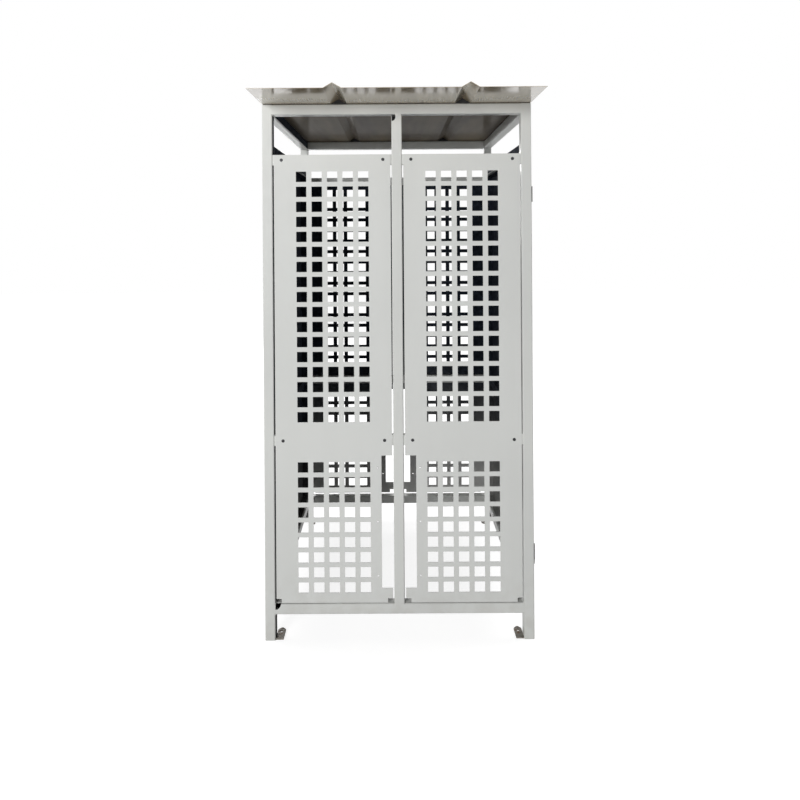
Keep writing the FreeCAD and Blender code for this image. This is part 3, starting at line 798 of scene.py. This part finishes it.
# Template for sheets with painted shade on their inner faces
SHADED_INSIDE_PAINT = replace(PANEL_PAINT, name="shaded_inside_coat", specular=0.1)
# Rear panels: painted shade that grades to light grey low down as painted floor-bounce light
REAR_PANEL_PAINT = replace(
    SHADED_INSIDE_PAINT,
    name="rear_panel_coat",
    painted_shade=ShadedSide.REAR,
    painted_floor_light=(0.55, 0.55, 0.54),
    painted_floor_light_top=0.85,
    painted_shade_from=CAGE_HALF - PANEL_SHEET + FACE_DEPTH,
)
LEFT_WALL_PAINT = replace(
    SHADED_INSIDE_PAINT,
    name="left_wall_coat",
    painted_shade=ShadedSide.LEFT,
    painted_shade_reach=TUBE_INSIDE - WALL_SHEET + FACE_DEPTH,
)
# Door: painted shade that grades to mid grey low down as painted floor-bounce light
DOOR_PAINT = replace(
    SHADED_INSIDE_PAINT,
    name="door_coat",
    painted_shade=ShadedSide.RIGHT,
    painted_floor_light=(0.30, 0.30, 0.29),
    painted_floor_light_top=0.85,
    painted_shade_reach=DOOR_HALF - WALL_SHEET + FACE_DEPTH,
)
ROOF_COAT = RoofCoat()
FOOT_STEEL = Metal("foot_steel_plate", (0.30, 0.28, 0.25), (0.17, 0.155, 0.135), 0.3, 0.55, rust_share=0.2)
HINGE_STEEL = Metal(
    "hinge_steel_bare", (0.05, 0.047, 0.044), (0.03, 0.028, 0.026), 0.25, 0.5, rust_share=0.1, specular=0.2
)
ZINC = Metal("zinc_plate", (0.37, 0.38, 0.38), (0.27, 0.275, 0.27), 1.0, 0.42)
BLACK_SCREW = Metal("black_screw", (0.022, 0.022, 0.024), (0.04, 0.04, 0.042), 0.5, 0.38)
ALUMINIUM = Metal("anodised_aluminium", (0.58, 0.59, 0.60), (0.52, 0.53, 0.54), 0.9, 0.62, (0.05, 0.05, 1.0))
CELL_GLASS = CellGlass()
BOX_PLASTIC = DarkPolymer("junction_plastic_shell")
# Seals and rib fillers: black rubber parts whose black also darkens the roof joint line and the rib openings
# as painted shade
SEAL_RUBBER_AND_SHADE = DarkPolymer("seal_rubber_and_shade_strip", roughness=0.75)


@dataclass
class Assembly:
    """What every sub-assembly needs: the frame's nodes, the palette and ways to hand in pieces."""

    nodes: dict[str, bpy.types.Object]
    palette: Palette
    sharp_angle: float = 30.0
    merge_reach: float = 0.01 * MM

    def dress(self, names: Iterable[str], finish: Finish) -> None:
        """Gives nodes a finish.

        Args:
            names: Names of the nodes.
            finish: Finish whose material they get.
        """
        for name in names:
            node = self.nodes[name]
            node.data.materials.clear()
            node.data.materials.append(self.palette.get(finish))
            LOG.info("dressed %s with %s", name, finish.name)

    def soften(self, names: Iterable[str], width: float, segments: int = 2) -> None:
        """Rounds the sharp edges of nodes with live modifiers, so that their own meshes stay as packed.

        Args:
            names: Names of the nodes.
            width: Width of the rounding.
            segments: Facets across it.
        """
        for name in names:
            node = self.nodes[name]
            weld = node.modifiers.new("joined_triangles", "WELD")
            weld.merge_threshold = self.merge_reach
            bevel = node.modifiers.new("rounded_edges", "BEVEL")
            bevel.width = width
            bevel.segments = segments
            bevel.limit_method = "ANGLE"
            bevel.angle_limit = math.radians(self.sharp_angle)

    def named(self, *endings: str) -> list[str]:
        """Names of the nodes with one of the endings."""
        return sorted(name for name in self.nodes if name.endswith(endings))

    def hand_in(self, piece: bpy.types.Object, finish: Finish, body: str, slot: str) -> None:
        """Dresses a new piece and fixes it to a body.

        Args:
            piece: The finished piece.
            finish: Its finish.
            body: Body that it rides on.
            slot: Slot of the record that its finish belongs to; not used.
        """
        piece.data.materials.clear()
        piece.data.materials.append(self.palette.get(finish))
        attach(piece, body)
        LOG.info("made %s on %s", piece.name, body)

    def set_copies(
        self, pattern: bpy.types.Object, places: dict[str, Matrix], finish: Finish, body: str, slot: str
    ) -> None:
        """Copies a pattern to each place, hands the copies in and removes the pattern.

        Args:
            pattern: Object that stands on the origin.
            places: Turn and place of each copy, by its name.
            finish: Finish of the copies.
            body: Body that they ride on.
            slot: Slot of the record that their finish belongs to.
        """
        for name, place in places.items():
            self.hand_in(Bench.copy(pattern, name, place), finish, body, slot)
        Bench.scrap(pattern)


@dataclass
class SocketScrew:
    """Button-head screw with a flange and a hexagon socket, standing on the origin along +Z."""

    flange_radius: float = 6.2 * MM
    flange_height: float = 0.9 * MM
    head_radius: float = 5.0 * MM
    head_height: float = 2.6 * MM
    dome_inset: float = 1.7 * MM
    dome_height: float = 0.5 * MM
    socket_radius: float = 2.1 * MM
    socket_depth: float = 1.9 * MM
    sides: int = 24

    def build(self) -> bpy.types.Object:
        """Models the screw's head.

        Returns:
            The head.
        """
        head = Bench.round_bar("screw_pattern", self.flange_radius, self.flange_height, self.sides)
        Bench.top_face(head)
        bpy.ops.mesh.inset(thickness=self.flange_radius - self.head_radius)
        Bench.rise(self.head_height - self.dome_height)
        bpy.ops.mesh.inset(thickness=self.dome_inset)
        bpy.ops.transform.translate(value=(0, 0, self.dome_height))
        tool = Bench.round_bar("hexagon_tool", self.socket_radius, 2 * self.socket_depth, 6)
        top = self.flange_height + self.head_height
        tool.data.transform(Matrix.Translation((0, 0, top - self.socket_depth)))
        Bench.cut(head, tool)
        Bench.smooth(head)
        return head


@dataclass
class HexScrew:
    """Hexagon-head roofing screw with its sealing washer, standing on the origin along +Z."""

    washer_radius: float = 8.0 * MM
    washer_height: float = 1.6 * MM
    flange_radius: float = 6.5 * MM
    flange_height: float = 1.0 * MM
    head_radius: float = 4.6 * MM
    head_height: float = 4.4 * MM
    flange_rim: float = 0.4 * MM
    edge: float = 0.5 * MM
    sides: int = 24

    def build(self) -> bpy.types.Object:
        """Models washer, flange and head.

        Returns:
            The screw.
        """
        washer = Bench.round_bar("washer_pattern", self.washer_radius, self.washer_height, self.sides)
        Bench.top_face(washer)
        bpy.ops.mesh.inset(thickness=self.washer_radius - self.flange_radius)
        Bench.rise(self.flange_height)
        bpy.ops.mesh.inset(thickness=self.flange_rim)
        head = Bench.round_bar("hexagon_pattern", self.head_radius, self.head_height, 6)
        Bench.top_face(head)
        bpy.ops.mesh.bevel(offset=self.edge, segments=2, affect="EDGES")
        bpy.ops.object.mode_set(mode="OBJECT")
        head.data.transform(Matrix.Translation((0, 0, self.washer_height + self.flange_height)))
        screw = Bench.join([washer, head], "roof_screw_pattern")
        Bench.smooth(screw)
        return screw


@dataclass
class WeldBead:
    """Rippled fillet bead along +Z, starting at the origin."""

    radius: float = 2.4 * MM
    length: float = 36.0 * MM
    ripple: float = 3.0 * MM
    pinch: float = 0.84
    end_pinch: float = 0.45
    sides: int = 8
    smooth_angle: float = 50.0

    def build(self) -> bpy.types.Object:
        """Models the bead by extruding a small round in steps, drawn in at every other one.

        Returns:
            The bead.
        """
        Bench.clear()
        bpy.ops.mesh.primitive_circle_add(
            vertices=self.sides, radius=self.radius * self.end_pinch, fill_type="NGON", location=(0, 0, 0)
        )
        bead = Bench.edit_all("bead_pattern")
        steps = 2 * round(self.length / self.ripple)
        widths = [1.0 if step % 2 == 0 else self.pinch for step in range(steps - 1)] + [self.end_pinch]
        last = self.end_pinch
        for width in widths:
            Bench.rise(self.length / steps)
            bpy.ops.transform.resize(value=(width / last, width / last, 1))
            last = width
        Bench.face_outwards()
        Bench.smooth(bead, self.smooth_angle)
        return bead


@dataclass
class GroundWeld:
    """Weld strip, ground flush in the groove beside a tube's corner: along Z, centred on the origin."""

    side: float = 3.4 * MM
    length: float = 34.0 * MM
    edge: float = 0.5 * MM

    def build(self) -> bpy.types.Object:
        """Models the strip with its edges ground round.

        Returns:
            The strip.
        """
        Bench.clear()
        bpy.ops.mesh.primitive_cube_add(size=1.0, location=(0, 0, 0))
        strip = Bench.edit_all("ground_weld_pattern")
        bpy.ops.transform.resize(value=(self.side, self.side, self.length))
        bpy.ops.mesh.bevel(offset=self.edge, segments=2, affect="EDGES")
        Bench.smooth(strip)
        return strip


@dataclass
class RibFiller:
    """Foam filler that closes a folded rib over a beam: along +Z from the origin, with its ridge at +Y."""

    half_width: float = 30.2 * MM
    height: float = 17.4 * MM
    length: float = 38.0 * MM
    edge: float = 0.4 * MM

    def build(self) -> bpy.types.Object:
        """Models the filler from a triangle, flattened to the rib's slope and raised to its length.

        Returns:
            The filler.
        """
        Bench.clear()
        radius = self.half_width / math.cos(math.radians(30))
        bpy.ops.mesh.primitive_circle_add(vertices=3, radius=radius, fill_type="NGON", location=(0, 0, 0))
        filler = Bench.edit_all("rib_filler_pattern")
        bpy.ops.transform.translate(value=(0, 0.5 * radius, 0))
        bpy.ops.transform.resize(value=(1, self.height / (1.5 * radius), 1), center_override=(0, 0, 0))
        Bench.rise(self.length)
        Bench.face_outwards()
        bpy.ops.mesh.bevel(offset=self.edge, segments=1, affect="EDGES")
        bpy.ops.object.mode_set(mode="OBJECT")
        return filler


@dataclass
class Cage(Assembly):
    """Welded cage of square tube on four base plates."""

    corner_round: float = 1.8 * MM
    plate_round: float = 0.6 * MM
    groove: float = 1.5 * MM
    strip_depth: float = 1.6 * MM
    vent_width: float = 13.0 * MM
    bead: WeldBead = field(default_factory=WeldBead)
    strip: GroundWeld = field(default_factory=GroundWeld)

    def build(self) -> None:
        """Dresses the tubes and plates, and welds their joints."""
        tubes = self.named("_post", "_beam", "_rail", "_stiffener")
        plates = self.named("_base_plate")
        self.dress(tubes, FRAME_PAINT)
        # These coats colour the bores near black and the inner faces dark as painted shade
        self.dress(["front_centre_post"], POST_PAINT)
        self.dress(["front_bottom_beam"], BEAM_PAINT)
        self.dress(["left_top_beam", "left_side_rail"], LEFT_TUBE_PAINT)
        self.dress(["right_side_rail"], RIGHT_TUBE_PAINT)
        self.dress(["front_left_post"], LEFT_POST_PAINT)
        self.dress(["rear_left_post", "rear_right_post"], REAR_POST_PAINT)
        self.soften(self.named("_post", "_beam", "_side_rail"), self.corner_round)
        self.dress(plates, FOOT_STEEL)
        self.soften(plates, self.plate_round, segments=1)
        self.weld_beams()
        self.weld_centre_posts()

    def weld_beams(self) -> None:
        """Lays beads under and over the ends of each beam, and grinds its outer joints flush."""
        bead = self.bead.build()
        strip = self.strip.build()
        for name in self.named("_top_beam", "_bottom_beam", "_side_rail"):
            copies = self.beam_welds(name, bead, strip)
            self.hand_in(Bench.join(copies, f"{name}_welds"), FRAME_PAINT, "frame", "frame_paint")
        Bench.scrap(bead)
        Bench.scrap(strip)

    def beam_welds(
        self, name: str, bead: bpy.types.Object, strip: bpy.types.Object
    ) -> list[bpy.types.Object]:
        """Copies welds to both ends of a beam.

        Args:
            name: Name of the beam.
            bead: Bead to copy into the corners under and over the beam.
            strip: Ground weld to copy into the groove of the post, on the cage's outside.

        Returns:
            The copies.
        """
        low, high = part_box(name)
        along = 0 if high.x - low.x > high.y - low.y else 1
        across = 1 - along
        facing = Facing.RIGHT if along else Facing.REAR
        middle = 0.5 * (low + high)
        depth = 0.5 * (high[across] - low[across]) - self.strip_depth
        heights = [low.z] if name.endswith("_top_beam") else [low.z, high.z]
        copies = []
        for end in (low[along], high[along]):
            place = middle.copy()
            place[across] += math.copysign(depth, middle[across])
            place[along] = end + math.copysign(self.groove, end)
            copies.append(Bench.copy(strip, "flush_strip", Matrix.Translation(place)))
            place[across] = middle[across] - 0.5 * self.bead.length
            place[along] = end
            for height in heights:
                place.z = height
                copies.append(Bench.copy(bead, "corner_bead", Matrix.Translation(place) @ facing.turn))
        return copies

    def weld_centre_posts(self) -> None:
        """Grinds the joints of the centre posts with the beams over and under them flush outside."""
        pattern = self.strip.build()
        level = Facing.RIGHT.turn
        for name in self.named("_centre_post"):
            low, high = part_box(name)
            face = math.copysign(max(abs(low.y), abs(high.y)) - self.strip_depth, low.y)
            open_width = self.vent_width if name.startswith("front") else 0.0
            share = 1.0 - open_width / self.strip.length
            shorter = Matrix.Diagonal((1.0, 1.0, share, 1.0))
            over = Matrix.Translation((0.5 * open_width, face, high.z + self.groove)) @ level @ shorter
            under = Matrix.Translation((0.0, face, low.z - self.groove)) @ level
            strips = [Bench.copy(pattern, "flush_strip", place) for place in (over, under)]
            self.hand_in(Bench.join(strips, f"{name}_welds"), FRAME_PAINT, "frame", "frame_paint")
        Bench.scrap(pattern)


@dataclass
class EndWalls(Assembly):
    """Perforated panels at the front and rear, screwed to their rails."""

    screw: SocketScrew = field(default_factory=SocketScrew)
    edge_offset: float = 29.0 * MM
    rail_middle: float = 20.0 * MM

    def build(self) -> None:
        """Dresses the panels and sets their screws."""
        # Rear panels get painted shade on their inner faces, grading lighter low down as painted floor-bounce
        # light
        walls = {"front": (Facing.FRONT, PANEL_PAINT), "rear": (Facing.REAR, REAR_PANEL_PAINT)}
        places = {}
        for end, (facing, paint) in walls.items():
            for name in (f"{end}_left_panel", f"{end}_right_panel"):
                self.dress([name], paint)
                for number, place in enumerate(self.screw_places(name, facing), 1):
                    places[f"{name}_screw_{number}"] = Matrix.Translation(place) @ facing.turn
        self.set_copies(self.screw.build(), places, BLACK_SCREW, "frame", "bolt_steel")

    def screw_places(self, panel: str, facing: Facing) -> list[Vector]:
        """Places of a panel's four screws on its outer face, at the middle height of its two rails.

        Args:
            panel: Name of the panel.
            facing: Way that it faces.

        Returns:
            The places.
        """
        low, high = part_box(panel)
        face = low.y if facing is Facing.FRONT else high.y
        middle_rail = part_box(panel.replace("_panel", "_middle_rail"))
        heights = (0.5 * (middle_rail[0].z + middle_rail[1].z), high.z - self.rail_middle)
        sides = (low.x + self.edge_offset, high.x - self.edge_offset)
        return [Vector((x, face, z)) for z in heights for x in sides]


@dataclass
class SideWalls(Assembly):
    """Folded sheet walls at the sides: a fixed one at the left, and the door with hinges and bolt."""

    latch_plate: float = 2.5 * MM
    screw_inset_y: float = 8.0 * MM
    screw_inset_z: float = 7.0 * MM
    hinge_half: float = 30.0 * MM
    leaf_middle: float = 1.5 * MM
    screw: SocketScrew = field(default_factory=SocketScrew)
    edge_round: float = 0.8 * MM
    bead: WeldBead = field(default_factory=lambda: WeldBead(radius=2.0 * MM, length=24.0 * MM))

    def build(self) -> None:
        """Dresses walls, hinges and bolt, and fixes the fittings."""
        # Wall and door get painted shade on their inner faces, grading lighter low down as painted
        # floor-bounce light
        self.dress(["left_side_panel", "left_panel_stiffener"], LEFT_WALL_PAINT)
        self.dress(["door_skin", "door_stiffener"], DOOR_PAINT)
        self.dress(self.named("_halves"), HINGE_STEEL)
        fittings = ["bolt_bracket", "bolt_keeper", "slide_bolt"]
        self.dress(fittings, ZINC)
        self.soften(fittings, self.edge_round)
        self.screw_latch()
        self.weld_hinges()

    def screw_latch(self) -> None:
        """Sets a screw in each corner of the bolt's plate."""
        low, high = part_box("bolt_bracket")
        face = low.x + self.latch_plate
        rows = [low.z + self.screw_inset_z, high.z - self.screw_inset_z]
        columns = [low.y + self.screw_inset_y, high.y - self.screw_inset_y]
        corners = [(face, y, z) for z in rows for y in columns]
        places = {
            f"bolt_bracket_screw_{number}": Matrix.Translation(corner) @ Facing.RIGHT.turn
            for number, corner in enumerate(corners, 1)
        }
        self.set_copies(self.screw.build(), places, ZINC, "door", "bolt_steel")

    def weld_hinges(self) -> None:
        """Lays a bead along the free edge of every hinge leaf, on the post or on the door."""
        pattern = self.bead.build()
        post_low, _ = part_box("hinge_post_halves")
        door_low, door_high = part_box("hinge_door_halves")
        upper = door_high.z - 2 * self.hinge_half
        leaves = {
            "hinge_post_welds": ("frame", post_low.y, (post_low.z, upper)),
            "hinge_door_welds": ("door", door_high.y, (door_low.z, upper + self.hinge_half)),
        }
        spare = 0.5 * (self.hinge_half - self.bead.length)
        for name, (body, edge, feet) in leaves.items():
            across = post_low.x + self.leaf_middle
            places = [Matrix.Translation((across, edge, foot + spare)) for foot in feet]
            beads = [Bench.copy(pattern, "hinge_bead", place) for place in places]
            self.hand_in(Bench.join(beads, name), HINGE_STEEL, body, "hinge_steel")
        Bench.scrap(pattern)


@dataclass
class Roof(Assembly):
    """Ribbed sheet roof, screwed to the beams under it."""

    screw: HexScrew = field(default_factory=HexScrew)
    filler: RibFiller = field(default_factory=RibFiller)
    sheet: float = 1.5 * MM
    per_beam: int = 4
    end_margin: float = 60.0 * MM
    left_rib_inset: float = 297.0 * MM
    right_rib_inset: float = 264.0 * MM

    def build(self) -> None:
        """Dresses the sheet and its seals, and sets its fillers and screws along the front and rear beams."""
        self.dress(["roof_sheet"], ROOF_COAT)
        # The black seals darken the joint line under the roof as painted shade
        self.dress(self.named("_roof_seal"), SEAL_RUBBER_AND_SHADE)
        self.fill_ribs()
        numbered = enumerate(self.screw_places(), 1)
        places = {f"roof_screw_{number}": Matrix.Translation(place) for number, place in numbered}
        self.set_copies(self.screw.build(), places, ZINC, "frame", "bolt_steel")

    def fill_ribs(self) -> None:
        """Closes both ribs over the front and rear top beams, on the seals there."""
        low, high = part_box("roof_sheet")
        ridges = {"left": low.x + self.left_rib_inset, "right": high.x - self.right_rib_inset}
        places = {}
        for end in ("front", "rear"):
            seal_low, seal_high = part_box(f"{end}_roof_seal")
            start = 0.5 * (seal_low.y + seal_high.y) + 0.5 * self.filler.length
            for side, ridge in ridges.items():
                spot = Matrix.Translation((ridge, start, seal_high.z))
                places[f"{end}_{side}_rib_filler"] = spot @ Facing.FRONT.turn
        # Black fillers close the rib openings, which then stand dark as painted shade
        self.set_copies(self.filler.build(), places, SEAL_RUBBER_AND_SHADE, "frame", "seal_rubber")

    def screw_places(self) -> list[Vector]:
        """Places of the screws on the sheet, above the middle of the front and rear top beams.

        Returns:
            The places.
        """
        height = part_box("roof_sheet")[0].z + self.sheet
        places = []
        for beam in ("front_top_beam", "rear_top_beam"):
            low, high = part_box(beam)
            first = low.x + self.end_margin
            step = (high.x - low.x - 2 * self.end_margin) / (self.per_beam - 1)
            middle = 0.5 * (low.y + high.y)
            places += [Vector((first + step * index, middle, height)) for index in range(self.per_beam)]
        return places


@dataclass
class SolarModule(Assembly):
    """Framed solar module on four folded brackets over the roof."""

    screw: HexScrew = field(default_factory=HexScrew)
    foot_middle: float = 16.0 * MM
    bracket_sheet: float = 3.0 * MM

    def build(self) -> None:
        """Dresses frame, glass, brackets and junction box."""
        self.dress([name for name in self.nodes if name.startswith("module_frame")], ALUMINIUM)
        self.dress(self.named("_module_bracket"), ALUMINIUM)
        self.dress(["module_glass"], CELL_GLASS)
        self.dress(["module_junction_box"], BOX_PLASTIC)
        self.screw_brackets()

    def screw_brackets(self) -> None:
        """Sets a screw through the foot of every bracket into the roof."""
        places = {}
        for name in self.named("_module_bracket"):
            low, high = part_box(name)
            outer = low.x if "left" in name else high.x
            across = outer - math.copysign(self.foot_middle, outer)
            spot = (across, 0.5 * (low.y + high.y), low.z + self.bracket_sheet)
            places[f"{name}_screw"] = Matrix.Translation(spot)
        self.set_copies(self.screw.build(), places, ZINC, "frame", "bolt_steel")


@dataclass(frozen=True)
class Lamp:
    """Soft area lamp that looks at a point."""

    name: str
    place: Point
    target: Point
    size: float
    power: float

    def add(self) -> None:
        """Adds the lamp to the scene."""
        light = bpy.data.lights.new(self.name, "AREA")
        light.shape = "DISK"
        light.size = self.size
        light.energy = self.power
        lamp = bpy.data.objects.new(self.name, light)
        lamp.location = self.place
        lamp.rotation_euler = (Vector(self.target) - Vector(self.place)).to_track_quat("-Z", "Y").to_euler()
        bpy.context.scene.collection.objects.link(lamp)


@dataclass
class Studio:
    """Plain pale floor, soft lamps, white surroundings and the camera."""

    camera_place: Point = (-0.0109, -2.9565, 1.5692)
    camera_roll: float = 0.385
    camera_yaw: float = 0.083
    focal_pixels: float = 631.4
    centre_pixel: tuple[float, float] = (393.5, 233.4)
    sensor: float = 36.0
    floor_half: float = 14.0
    floor_tone: float = 0.34
    near_glow: float = 0.86
    far_glow: float = 0.99
    near_reach: float = 1.3
    far_reach: float = 3.5
    ambient: float = 0.05
    lamps: tuple[Lamp, ...] = (
        Lamp("key_lamp", (-3.8, -8.2, 2.75), (0.0, -0.4, 1.2), 3.3, 560.0),
        Lamp("front_fill_lamp", (0.8, -5.0, 0.9), (0.0, -0.4, 1.0), 2.4, 10.0),
        Lamp("right_lamp", (5.0, 1.4, 3.5), (0.4, 0.0, 1.1), 2.8, 145.0),
        Lamp("rear_lamp", (-1.6, 5.6, 2.7), (0.0, 0.4, 1.1), 3.0, 150.0),
        Lamp("left_lamp", (-5.0, 1.4, 3.5), (-0.4, 0.0, 1.1), 2.8, 80.0),
        Lamp("top_lamp", (0.4, 0.6, 6.6), (0.0, 0.0, 2.1), 3.0, 130.0),
    )

    def build(self) -> None:
        """Builds floor, world, lamps and camera."""
        self.add_floor()
        self.add_world()
        for lamp in self.lamps:
            lamp.add()
        self.add_camera()
        bpy.context.scene.view_settings.view_transform = "Standard"

    @staticmethod
    def seen_share(nodes: Nodes) -> bpy.types.NodeSocket:
        """One for rays from the camera, mirrored rays and rays through glass, and nought for the rest.

        Args:
            nodes: Tree to add to.

        Returns:
            The share.
        """
        path = nodes.add("ShaderNodeLightPath").outputs
        direct = nodes.calc("MAXIMUM", path["Is Camera Ray"], path["Is Glossy Ray"])
        return nodes.calc("MAXIMUM", direct, path["Is Transmission Ray"])

    def add_floor(self) -> None:
        """Adds the floor, whose own glow is seen directly but lights nothing, and rises outwards to white."""
        Bench.clear()
        bpy.ops.mesh.primitive_plane_add(size=2 * self.floor_half, location=(0, 0, 0))
        floor = bpy.context.object
        floor.name = "floor"
        material = bpy.data.materials.new("pale_floor")
        material.use_nodes = True
        nodes = Nodes(material.node_tree)
        nodes.tree.nodes.clear()
        place = nodes.add("ShaderNodeTexCoord").outputs["Object"]
        distance = nodes.add("ShaderNodeVectorMath", {0: place}, operation="LENGTH").outputs["Value"]
        brightness = nodes.span(distance, self.near_reach, self.far_reach, self.near_glow, self.far_glow)
        strength = nodes.calc("MULTIPLY", self.seen_share(nodes), brightness)
        glow = nodes.add("ShaderNodeEmission", {"Strength": strength}).outputs[0]
        tone = (self.floor_tone, self.floor_tone, self.floor_tone, 1.0)
        diffuse = nodes.add("ShaderNodeBsdfDiffuse", {"Color": tone}).outputs[0]
        both = nodes.add("ShaderNodeAddShader", {0: diffuse, 1: glow}).outputs[0]
        nodes.add("ShaderNodeOutputMaterial", {"Surface": both})
        floor.data.materials.append(material)

    def add_world(self) -> None:
        """Adds white surroundings that give only a low, even light."""
        world = bpy.data.worlds.new("white_surroundings")
        world.use_nodes = True
        nodes = Nodes(world.node_tree)
        background = nodes.tree.nodes["Background"].inputs
        nodes.feed(background["Color"], (1.0, 1.0, 1.0, 1.0))
        strength = nodes.calc("MULTIPLY_ADD", self.seen_share(nodes), 1.0 - self.ambient, self.ambient)
        nodes.feed(background["Strength"], strength)
        bpy.context.scene.world = world

    def add_camera(self) -> None:
        """Adds the camera at the photograph's viewing angle."""
        data = bpy.data.cameras.new("photo_camera")
        data.sensor_width = self.sensor
        data.lens = self.focal_pixels / IMAGE_SIDE * self.sensor
        data.shift_x = 0.5 - self.centre_pixel[0] / IMAGE_SIDE
        data.shift_y = self.centre_pixel[1] / IMAGE_SIDE - 0.5
        camera = bpy.data.objects.new("photo_camera", data)
        camera.location = self.camera_place
        turns = (90.0, self.camera_roll, self.camera_yaw)
        camera.rotation_euler = [math.radians(turn) for turn in turns]
        bpy.context.scene.collection.objects.link(camera)
        bpy.context.scene.camera = camera


def main() -> None:
    """Loads the frame, dresses each sub-assembly in order and sets up the studio."""
    logging.basicConfig(level=logging.INFO, format="%(name)s: %(message)s")
    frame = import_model()
    palette = Palette()
    for kind in (Cage, EndWalls, SideWalls, Roof, SolarModule):
        kind(frame["nodes"], palette).build()
    Studio().build()


if __name__ == "__main__":
    main()
